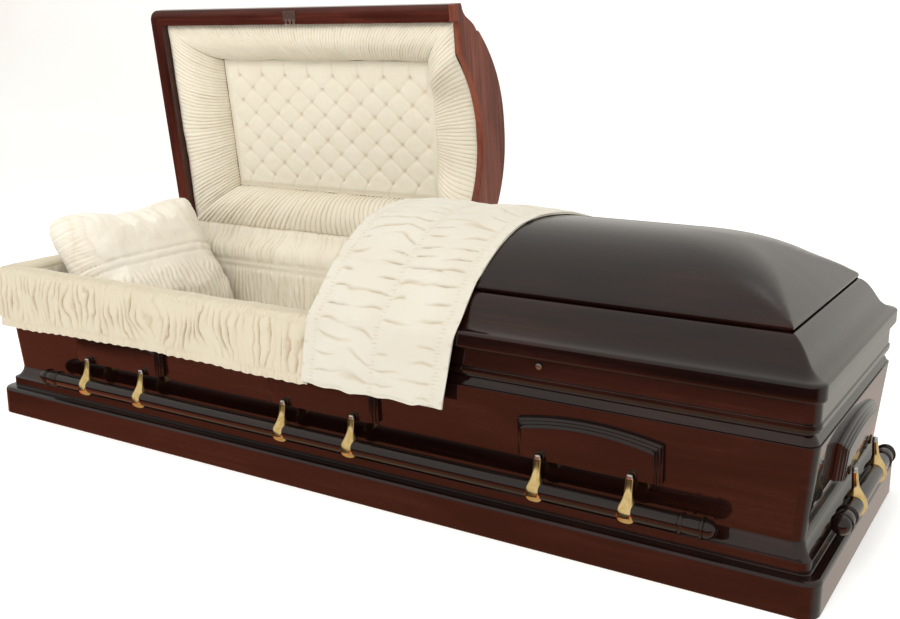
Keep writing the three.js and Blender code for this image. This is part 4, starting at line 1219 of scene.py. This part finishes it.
SKIRT_FOOT_X = -0.024
SKIRT_RETURN_Y = 0.262
SKIRT_RADIUS = 0.034
LEAST_RADIUS = 0.004
SKIRT_SPLIT = 36
SKIRT_ROWS = 73
SKIRT_PATH = [(72, 378.5), (71, 383), (64, 388.5), (50, 392), (34, 392.5), (20, 390.5), (12, 385.5),
              (9, 376), (8.0, 358), (8.2, 330), (7.8, 302), (5.2, 277), (4.4, 261), (4.2, 249)]


def skirt_rows():
    """Stations along the front rail, round the head corner and along the head rail, and their places."""
    hl, hw = BODY_LENGTH / 2, BODY_WIDTH / 2
    radius = SKIRT_RADIUS
    corner = math.pi / 2 * (radius + 0.008)
    front = hl + SKIRT_FOOT_X - radius
    head = hw - radius + SKIRT_RETURN_Y
    total = front + corner + head
    nu = count_for(total, 0.0019)
    s = np.linspace(0, total, nu)

    def place(inset):
        r = np.clip(radius - inset, LEAST_RADIUS, None)
        cx, cy = -hl + radius, -hw + radius
        on_front, beyond = s < front, s >= front + corner
        a = np.clip((s - front) / corner, 0, 1) * math.pi / 2
        x, y = np.empty((nu, len(inset))), np.empty((nu, len(inset)))
        flat = np.clip(inset - radius + LEAST_RADIUS, 0, None)
        for k in range(len(inset)):
            limit = -hl + radius + flat[k] - LEAST_RADIUS * (flat[k] > 0)
            front_x = SKIRT_FOOT_X - s * (SKIRT_FOOT_X - limit) / front
            head_y = cy + flat[k] + (s - front - corner) * (head - flat[k]) / head
            corner_x = cx - r[k] * np.sin(a) + flat[k]
            corner_y = cy - r[k] * np.cos(a) + flat[k]
            x[:, k] = np.select([on_front, beyond], [front_x, -hl + inset[k]], corner_x)
            y[:, k] = np.select([on_front, beyond], [-hw + inset[k], head_y], corner_y)
        return x, y
    return s, place


def add_skirt():
    """One gathered cloth over the rails, split into the roll on top and the drop outside."""
    s, place = skirt_rows()
    path = spline(np.array(SKIRT_PATH) * MM, 289)
    crest = int(np.argmax(path[:, 1]))
    turn = int(np.argmin(np.abs(path[crest:, 1] - RAIL_TOP - 0.0010))) + crest
    split = SKIRT_SPLIT
    path = np.vstack([even(path[:turn + 1], split + 1), even(path[turn:], SKIRT_ROWS - split)[1:]])
    inset, height = path[:, 0], path[:, 1]
    x, y = place(inset)
    surface = np.stack([x, y, np.broadcast_to(height, x.shape)], -1)
    down = arc_lengths(path[None], 1, False)[None] * np.ones_like(x)
    along = s[:, None] * np.ones_like(x)
    total_down = down.max()
    hem, top = total_down - 0.016, 0.060
    wander = 1.0 * fractal(along * 10, down * 8, 401) + 0.30 * fractal(along * 36, down * 24, 405)
    broad = along / 0.0215 + wander + 1.1 * (down - top) / 0.1 * value_noise(along * 7, 0.3, 409)
    fine = along / 0.0074 + 0.5 * fractal(along * 30, down * 20, 411)
    at_top = bump_at(down, top, 0.020)
    at_hem = bump_at(down, hem, 0.0055) + 0.6 * bump_at(down, hem + 0.011, 0.006)
    held = np.clip(at_top * 0.8 + at_hem, 0, 1)
    size = np.clip(0.50 + 0.62 * value_noise(broad * 0.7, down * 22, 415), 0.06, 1.15)
    ridge = ridges(broad, 0.7)
    big = ridge * size
    small = ridges(fine, 0.8)
    hang = ease(down, top, top + 0.03)
    belly = np.sin(np.clip((down - top) / (hem - top), 0, 1) * math.pi)
    lift = 0.0098 * big * hang * (1 - 0.8 * held) * (0.5 + 0.5 * belly) + 0.0024 * small * held
    lift += 0.0016 * belly * hang + 0.0022 * fractal(along * 8, down * 12, 421) * hang
    lift += 0.0016 * small * (1 - hang) * ease(down, 0.004, 0.02)
    lift += 0.0016 * fractal(along * 16, down * 12, 423) * (1 - hang)
    lift -= 0.0022 * at_hem
    normal = grid_normals(surface)
    if normal[:, split, 2].mean() < 0 and normal[:, split // 2, 2].mean() < 0:
        normal = -normal
    lift = lift * (0.25 + 0.75 * ease(along, 0.0, 0.022))
    front = surface + normal * lift[..., None]
    wave = 0.0028 * fractal(along[:, :1] * 9, 0.2, 431) + 0.0012 * np.sin(along[:, :1] * 2 * math.pi / 0.03)
    front[..., 2] += wave * ease(down, hem - 0.03, total_down)
    fall = 0.004 * ease(surface[..., 0], -0.42, -0.18) + 0.010 * ease(-surface[..., 0], 0.70, 1.04)
    fall = fall * ease(down, top, total_down)
    front[..., 2] -= fall
    # Painted shade: darker between the ridges and in the fine gathers at the top and the hem, and kept light
    # on the roll over the rail.
    shade = (1 - ridge) * np.clip(size + 0.15, 0, 1) * (1 - held) + 0.7 * (1 - small) * held
    values = np.clip(1 - 0.9 * shade, 0, 1)
    values = np.where(hang < 0.5, np.maximum(values, 0.62 + 0.3 * small), values)
    back_inset = np.clip(inset, 0.0006, None)
    inner_height = np.minimum(height, RAIL_TOP + GAP)
    low_inset = inset + 0.0012 + 0.0035 * ease(height, 0.28, 0.32)
    back_inset = np.where(height > RAIL_TOP + GAP, back_inset, low_inset)
    bx, by = place(back_inset)
    back = np.stack([bx, by, np.broadcast_to(inner_height, bx.shape) - fall], -1)
    parts = (("skirt_roll", slice(0, split + 1)), ("skirt_drop", slice(split, SKIRT_ROWS)))
    made = split_cloth(parts, front, back, values, 4)
    # The skirt takes the darker skirt crepe: painted shade.
    for piece in made:
        finish_piece(piece, "casket", "cloth", skirt_shaded_cloth, "skirt")
    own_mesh(made[0])


add_skirt()


# The overlay cloth across the head end of the foot lid

OVERLAY_PATH = [(-10.5, -131), (-10.2, -90), (-10.0, -40), (-9.6, 5), (-7.5, 22), (0, 34), (12, 47),
                (26, 62), (42, 80), (58, 97), (70, 110), (80, 121)]


def overlay_line():
    """The cloth's line across the lid as (y, z), from the front hem to the back edge."""
    half = LID_WIDTH / 2
    side = [(-(half - x * MM), LID_UNDERSIDE + z * MM) for x, z in OVERLAY_PATH]
    crown = []
    for d in np.linspace(0.014, 2 * CROWN_HALF - 0.012, 36):
        near = min(d, 2 * CROWN_HALF - d)
        crown.append((-CROWN_HALF + d, LID_UNDERSIDE + CROWN_BASE + float(crown_height(near)) + 0.0045))
    tail = [(half - x * MM, LID_UNDERSIDE + z * MM) for x, z in OVERLAY_PATH[:5:-1]]
    return spline(side + crown + tail, 341)


def add_overlay():
    """The cloth in three shirred bands, split where it turns over the lid's edge."""
    line = overlay_line()
    down = arc_lengths(line[None], 1, False)
    total = down[-1]
    nv = len(line)
    y, z = line[:, 0], line[:, 1]
    ridge = float(down[np.argmax(z)])
    drop = float(down[np.argmin(np.abs(z - LID_UNDERSIDE - 0.030) + 10 * (y > 0))])
    anchors = [0, drop * 0.55, drop, drop + 0.11, ridge * 0.85, ridge, total * 0.82, total]
    left = np.interp(down, anchors, [-0.034, -0.024, -0.0080, -0.0065, -0.0065, -0.0065, -0.0065, -0.0065])
    right = np.interp(down, anchors, [0.320, 0.336, 0.349, 0.348, 0.362, 0.378, 0.455, 0.462])
    kernel = np.ones(21) / 21
    for edge in (left, right):
        padded = np.concatenate([np.full(10, edge[0]), edge, np.full(10, edge[-1])])
        edge[:] = np.convolve(padded, kernel, "valid")
    nu = 145
    b = np.linspace(0, 1, nu)[:, None]
    x = left[None] * (1 - b) + right[None] * b
    surface = np.stack([x, np.broadcast_to(y, x.shape), np.broadcast_to(z, x.shape)], -1)
    a = down[None] * np.ones_like(x)
    w = b * np.ones_like(x)
    bands = (0.075, 0.505, 0.925)
    hold = np.zeros_like(x)
    for band in bands:
        hold = np.maximum(hold, bump_at(w, band, 0.026))
    hem = 1 - ease(np.minimum(np.minimum(w, 1 - w) * 0.36, a), 0.004, 0.010)
    fine = ridges(a / 0.0082 + 0.4 * fractal(w * 9, a * 30, 511), 0.8)
    between = np.ones_like(x)
    creases = np.zeros_like(x)
    for gap, (low, high) in enumerate(zip((0.0,) + bands, bands + (1.0,))):
        inside = (w >= low) & (w <= high)
        q = np.clip((w - low) / (high - low), 0, 1)
        between = np.where(inside, np.sin(q * math.pi) ** 0.5, between)
        for end, run in enumerate((1 - q, q)):
            seed = 530 + 20 * gap + 7 * end
            phase = a / 0.040 + 0.65 * fractal(a * 10, 0.3, seed) + 0.45 * fractal(w * 3, a * 8, seed + 3)
            reach = 0.55 + 0.45 * value_noise(np.round(phase) * 1.7, 0.5, seed + 5)
            line = np.exp(-(np.sin(np.pi * phase) / (0.20 + 0.30 * (1 - run))) ** 2)
            creases += np.where(inside, line * ease(run, 1 - 1.2 * reach, 0.85) ** 0.8, 0)
    edge_panel = (w < bands[0]) | (w > bands[2])
    calm = np.where(edge_panel, 0.25, 1.0)
    lift = 0.0068 * between * calm * (1 - hold) - 0.0046 * creases * calm * (1 - hold) + 0.0020 * fine * hold
    lift += 0.0020 * between * calm + 0.0034 * fractal(w * 5, a * 14, 515)
    lift = lift * (1 - 0.75 * hem) + 0.0012 * hem
    hanging = 1 - ease(a, drop - 0.03, drop + 0.01)
    lift = np.clip(lift, -0.001, 0.012) * (1 - 0.35 * hanging)
    normal = grid_normals(surface)
    if normal[nu // 2, nv // 2, 2] < 0:
        normal = -normal
    front = surface + normal * lift[..., None]
    front[..., 2] += (0.0035 * fractal(w * 5, 0.3, 521) + 0.002 * np.sin(w * 30)) * (1 - ease(a, 0, 0.05))
    near_edge = (1 - ease(np.minimum(w, 1 - w), 0, 0.2)) * (w > 0.5)
    front[..., 0] += 0.0022 * fractal(a * 16, 0.4, 523) * near_edge
    # Painted shade: darker along the creases, in the shirred bands and at the hem.
    values = 0.95 - 0.62 * creases * (1 - hold) * np.sqrt(calm) - 0.60 * (1 - fine) * hold - 0.15 * hem
    values = np.clip(values, 0, 1)
    back = surface - normal * 0.0030
    split = int(np.argmin(np.abs(down - drop))) // 4 * 4
    parts = (("overlay_drop", slice(0, split + 1)), ("overlay_top", slice(split, nv)))
    made = split_cloth(parts, front, back, values, 4)
    # The overlay takes the darker overlay crepe: painted shade.
    for piece in made:
        finish_piece(piece, "foot_lid", "cloth", overlay_crepe_shaded, "overlay_cloth")
    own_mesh(made[0])


add_overlay()


# Pillow: a stuffed cushion that leans on the head lining

PILLOW_TILT = math.radians(63)
PILLOW_UP = np.array([-math.cos(PILLOW_TILT), 0, math.sin(PILLOW_TILT)])
PILLOW_OUT = np.array([math.sin(PILLOW_TILT), 0, math.cos(PILLOW_TILT)])
PILLOW_CENTRE = np.array([-0.872, 0, 0.345])
PILLOW_HALF_WIDTH = 0.250
PILLOW_HALF_HEIGHT = 0.190
VOXEL = 0.007
MOST_SWELL = 0.024
FILL_FRAMES = 20


def pillow_blank():
    """The cushion before it is filled out: two faces that meet in a seam all round."""
    n, m = 121, 101
    u, v = np.meshgrid(np.linspace(-1, 1, n), np.linspace(-1, 1, m), indexing="ij")
    pull_u = 1 - 0.030 * (1 - np.abs(v) ** 2)
    pull_v = 1 - 0.030 * (1 - np.abs(u) ** 2)
    full = np.clip(1 - np.abs(u) ** 8, 0, 1) ** 0.36 * np.clip(1 - np.abs(v) ** 8, 0, 1) ** 0.30
    corner = 1 - 0.05 * np.abs(u * v) ** 4
    across = PILLOW_HALF_WIDTH * u * pull_u * corner
    up = PILLOW_HALF_HEIGHT * v * pull_v * corner
    sheets = []
    for thick in (0.084 - 0.010 * v, -0.055 + 0 * v):
        sheets.append(PILLOW_CENTRE + across[..., None] * np.array([0, 1.0, 0]) + up[..., None] * PILLOW_UP
                      + (thick * full)[..., None] * PILLOW_OUT)
    quads, _, _ = grid_faces(n, m)
    faces = [list(f) for f in quads] + [list(f + n * m)[::-1] for f in quads]
    cloud = np.vstack([sheet.reshape(-1, 3) for sheet in sheets])
    return make("pillow_cushion", cloud, faces, weld=True)


def evaluated_mesh(thing):
    graph = bpy.context.evaluated_depsgraph_get()
    graph.update()
    return bpy.data.meshes.new_from_object(thing.evaluated_get(graph))


def points_of(mesh):
    out = np.empty(len(mesh.vertices) * 3)
    mesh.vertices.foreach_get("co", out)
    return out.reshape(-1, 3)


def fill_out(thing):
    """Remeshes a blank and swells it as cloth under pressure, within the greatest swell."""
    remesh = thing.modifiers.new("remesh", "REMESH")
    remesh.mode = "VOXEL"
    remesh.voxel_size = VOXEL
    thing.data = evaluated_mesh(thing)
    thing.modifiers.clear()
    start = points_of(thing.data)
    swell = thing.modifiers.new("swell", "CLOTH")
    swell.settings.use_pressure = True
    swell.settings.uniform_pressure_force = 4.0
    swell.settings.effector_weights.gravity = 0.0
    swell.settings.quality = 6
    swell.point_cache.frame_start = 1
    swell.point_cache.frame_end = FILL_FRAMES
    scene = bpy.context.scene
    for number in range(1, FILL_FRAMES + 1):
        scene.frame_set(number)
    moved = points_of(evaluated_mesh(thing)) - start
    thing.modifiers.clear()
    scene.frame_set(1)
    far = np.linalg.norm(moved, axis=1, keepdims=True)
    start = start + moved * np.minimum(1, MOST_SWELL / np.maximum(far, 1e-9))
    thing.data.vertices.foreach_set("co", start.ravel())
    thing.data.update()
    finer = thing.modifiers.new("finer", "SUBSURF")
    finer.levels = 1
    thing.data = evaluated_mesh(thing)
    thing.modifiers.clear()


def add_pillow():
    """Fills the cushion out, then sews pleats, shirred bands and puckers into it."""
    piece = pillow_blank()
    fill_out(piece)
    mesh = piece.data
    cloud = points_of(mesh)
    normals = np.empty(len(mesh.vertices) * 3)
    mesh.vertices.foreach_get("normal", normals)
    normals = normals.reshape(-1, 3)
    rel = cloud - PILLOW_CENTRE
    u = rel[:, 1] / 0.255
    v = rel @ PILLOW_UP / 0.205
    facing = ease(normals @ PILLOW_OUT, -0.2, 0.35)
    low_half = (1 - ease(v, -0.25, -0.02)) * facing
    pleats = ridges(u * 15 + 0.7 * fractal(u * 4, v * 3, 601), 0.7)
    seams = ridges(u * 32 + 0.5 * fractal(u * 9, v * 5, 603), 0.8)
    band = (bump_at(v, 0.0, 0.028) + bump_at(v, 0.11, 0.024)) * facing
    pucker = ridges(v * 20 + 0.8 * fractal(v * 6, u * 3, 607), 0.7) * ease(np.abs(u), 0.68, 0.95)
    broad = fractal(u * 3, v * 3, 611)
    draws = (1 - ridges(u * 8 + 0.6 * fractal(u * 3, v * 2, 617), 0.45)) * ease(v, -0.05, 0.25) * facing
    lift = 0.0050 * pleats * low_half + 0.0016 * seams * band - 0.0030 * band
    lift = lift + 0.0024 * pucker + 0.0040 * broad - 0.0014 * draws
    cloud = cloud + normals * (lift - 0.0020)[:, None]
    # Painted shade: darker in the pleats, the shirred bands, the puckers and the draw lines.
    values = 0.92 - 0.62 * (1 - pleats) * low_half - 0.30 * band * (1 - seams)
    values = values - 0.40 * (1 - pucker) * ease(np.abs(u), 0.68, 0.9) - 0.24 * draws
    low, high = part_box("pillow")
    cloud[:, 0] = np.clip(cloud[:, 0], low.x + 0.0005, high.x)
    cloud[:, 1] = np.clip(cloud[:, 1], low.y, high.y)
    cloud[:, 2] = np.clip(cloud[:, 2], low.z, high.z)
    mesh.vertices.foreach_set("co", cloud.ravel())
    attribute = mesh.attributes.get("fold") or mesh.attributes.new("fold", "FLOAT", "POINT")
    attribute.data.foreach_set("value", np.clip(values, 0, 1).astype(np.float32))
    mesh.update()
    mesh.shade_smooth()
    finish_piece(piece, "casket", "cloth", pillow_cloth, "pillow")
    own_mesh(piece)


add_pillow()


# Small fittings

def add_latch():
    """A plate on the head lid's front rim with three short prongs towards the inside."""
    low, high = (-0.5475, -0.329, LID_UNDERSIDE - 0.0023), (-0.5045, -0.302, LID_UNDERSIDE - 0.0003)
    plate = block("latch_plate_body", low, high, 0.0008, opened)
    finish_piece(plate, "head_lid", "steel", steel, "latch_plate")
    for k, x in enumerate((-0.540, -0.526, -0.512)):
        low = (x - 0.0038, -0.3075, LID_UNDERSIDE - 0.0032)
        high = (x + 0.0038, -0.2945, LID_UNDERSIDE - 0.0015)
        prong = block(f"latch_prong_{k + 1}", low, high, 0.0009, opened)
        finish_piece(prong, "head_lid", "steel", bright_steel)


add_latch()


def add_stay_plate():
    """A narrow plate on the edge of the head lid's split-end board, near the hinge."""
    low, high = (-0.0285, 0.284, LID_UNDERSIDE - 0.0022), (-0.0200, 0.326, LID_UNDERSIDE - 0.0003)
    plate = block("lid_stay_plate", low, high, 0.0006, opened)
    finish_piece(plate, "head_lid", "steel", bright_steel)


add_stay_plate()


def add_catch():
    """The round button on the front rail."""
    low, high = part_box("rail_catch")
    centre = (low + high) / 2
    radius = (high.x - low.x) / 2
    rows = [(0, radius * 0.98), (0.0028, radius), (0.0040, radius * 0.86), (0.0046, radius * 0.55),
            (0.0048, 0.0004)]
    grid = []
    angle = round_angles(28)
    for depth, r in rows:
        y = np.full(28, high.y - depth)
        grid.append(np.stack([centre.x + r * np.cos(angle), y, centre.z + r * np.sin(angle)], 1))
    piece = tube("rail_catch_button", np.array(grid), sharp=50)
    finish_piece(piece, "casket", "steel", steel, "rail_catch")


add_catch()


HINGE_HALF = 0.032


def add_hinge(name, body, x, place):
    """A butt hinge: a leaf on the rail, a leaf on the lid's band, and five knuckle rings."""
    left, right = x - HINGE_HALF, x + HINGE_HALF
    low, high = (left, 0.3005, RAIL_TOP + GAP), (right, 0.3345, RAIL_TOP + 0.0014)
    leaf = block(f"{name}_rail_leaf", low, high, 0.0004)
    finish_piece(leaf, "casket", "steel", steel)
    leaf = block(f"{name}_lid_leaf", (left, HINGE_Y + 0.0002, LID_UNDERSIDE + 0.002),
                 (right, HINGE_Y + 0.0016, LID_UNDERSIDE + 0.026), 0.0004, place)
    finish_piece(leaf, body, "steel", steel)
    for k in range(5):
        start = left + k * 0.0130
        profile = np.array([
            (start, 0.0), (start, 0.0024), (start + 0.0004, 0.0028),
            (start + 0.0116, 0.0028), (start + 0.0120, 0.0024), (start + 0.0120, 0.0)])
        grid = lathe(profile, 16)
        grid[..., 1] += HINGE_Y + 0.0005
        grid[..., 2] += LID_UNDERSIDE - 0.0004
        faces = grid_faces(len(profile), 16, False, True)[0]
        rides = "casket" if k % 2 == 0 else body
        where = place if rides == body else (lambda p: p)
        piece = make(f"{name}_knuckle_{k + 1}", where(grid.reshape(-1, 3)), faces, sharp=40, weld=True)
        finish_piece(piece, rides, "steel", steel)


for k, x in enumerate((-0.87, -0.52, -0.17)):
    add_hinge(f"head_hinge_{k + 1}", "head_lid", x, opened)
for k, x in enumerate((0.17, 0.52, 0.87)):
    add_hinge(f"foot_hinge_{k + 1}", "foot_lid", x, lambda p: p)

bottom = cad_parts["bottom_board"]
bottom.data.materials.clear()
bottom.data.materials.append(mahogany)


# Stage, light and camera

def add_floor():
    """A pale floor that curves up behind the casket."""
    size, depth, bend = 14.0, 9.0, 1.5
    profile = [(-size, 0.0), (depth - bend, 0.0)]
    for a in np.linspace(0, math.pi / 2, 13)[1:]:
        profile.append((depth - bend + bend * math.sin(a), bend - bend * math.cos(a)))
    profile.append((depth, depth))
    points, faces = [], []
    for y, z in profile:
        points += [(-size, y, z), (size, y, z)]
    for k in range(len(profile) - 1):
        faces.append([2 * k, 2 * k + 1, 2 * k + 3, 2 * k + 2])
    floor = make("studio_floor", np.array(points), faces, fix=False)
    material, _, shader = node_material("pale_floor")
    shader.inputs["Base Color"].default_value = (0.88, 0.88, 0.88, 1)
    shader.inputs["Emission Color"].default_value = (1, 1, 1, 1)
    shader.inputs["Emission Strength"].default_value = 0.32
    shader.inputs["Roughness"].default_value = 0.9
    shader.inputs["Specular IOR Level"].default_value = 0.0
    floor.data.materials.append(material)
    floor.visible_glossy = False


add_floor()


def add_area(name, place, aim, size, power, colour):
    light = bpy.data.lights.new(name, "AREA")
    light.shape = "RECTANGLE"
    light.size, light.size_y = size
    light.energy = power
    light.color = colour
    thing = bpy.data.objects.new(name, light)
    thing.location = place
    thing.rotation_euler = (Vector(aim) - Vector(place)).to_track_quat("-Z", "Y").to_euler()
    thing.visible_glossy = False
    bpy.context.scene.collection.objects.link(thing)
    return thing


def set_world():
    """A studio surround: a bright ceiling, a bright card behind the foot end and a warm floor in front."""
    world = bpy.data.worlds.new("studio")
    bpy.context.scene.world = world
    world.use_nodes = True
    tree = world.node_tree
    place = tree.nodes.new("ShaderNodeTexCoord")
    split = tree.nodes.new("ShaderNodeSeparateXYZ")
    tree.links.new(place.outputs["Generated"], split.inputs[0])
    height = add_node(tree, "ShaderNodeMapRange")
    height.inputs["From Min"].default_value = -1.0
    height.inputs["From Max"].default_value = 1.0
    tree.links.new(split.outputs["Z"], height.inputs["Value"])
    low = colour_ramp(tree, height.outputs[0], [
        (0.0, (0.50, 0.42, 0.32)), (0.12, (0.52, 0.34, 0.20)), (0.22, (0.76, 0.21, 0.11)),
        (0.340, (0.76, 0.19, 0.10)), (0.372, (0.12, 0.035, 0.02)), (0.40, (0.02, 0.01, 0.008)),
        (0.5, (0.010, 0.007, 0.006))])
    card = tree.nodes.new("ShaderNodeVectorMath")
    card.operation = "DOT_PRODUCT"
    card.inputs[1].default_value = (0.80, 0.60, 0.0)
    tree.links.new(place.outputs["Generated"], card.inputs[0])
    behind = colour_ramp(tree, card.outputs["Value"], [(0.30, (0, 0, 0)), (0.72, (1, 1, 1))])
    under = mix_colour(tree, behind.outputs[0], low.outputs[0], (0.62, 0.60, 0.54))
    above = colour_ramp(tree, height.outputs[0], [(0.465, (0, 0, 0)), (0.51, (1, 1, 1))])
    total = mix_colour(tree, above.outputs[0], under, (0.70, 0.68, 0.63))
    background = tree.nodes["Background"]
    tree.links.new(total, background.inputs["Color"])
    background.inputs["Strength"].default_value = 1.0


set_world()
add_area("key", (1.4, -3.4, 3.2), (-0.1, 0, 0.4), (2.6, 2.2), 98, (1.0, 0.985, 0.95))
add_area("fill", (-2.6, -3.0, 2.2), (-0.3, 0, 0.5), (2.6, 2.2), 44, (1.0, 0.99, 0.97))
add_area("overhead", (-0.3, 0.2, 3.6), (-0.3, 0, 0.3), (2.6, 2.0), 40, (1.0, 0.99, 0.96))
add_area("foot_end", (4.2, -0.6, 1.6), (0.9, 0, 0.3), (2.6, 2.2), 20, (1.0, 0.99, 0.97))

camera_data = bpy.data.cameras.new("camera")
camera_data.sensor_width = 36.0
camera_data.lens = 43.65
camera = bpy.data.objects.new("camera", camera_data)
camera.location = (1.4081, -2.0918, 0.9547)
yaw, pitch = math.radians(31.46), math.radians(13.66)
camera_aim = Vector((-math.sin(yaw) * math.cos(pitch), math.cos(yaw) * math.cos(pitch), -math.sin(pitch)))
camera.rotation_euler = camera_aim.to_track_quat("-Z", "Y").to_euler()
bpy.context.scene.collection.objects.link(camera)
bpy.context.scene.camera = camera
bpy.context.scene.view_settings.view_transform = "Standard"
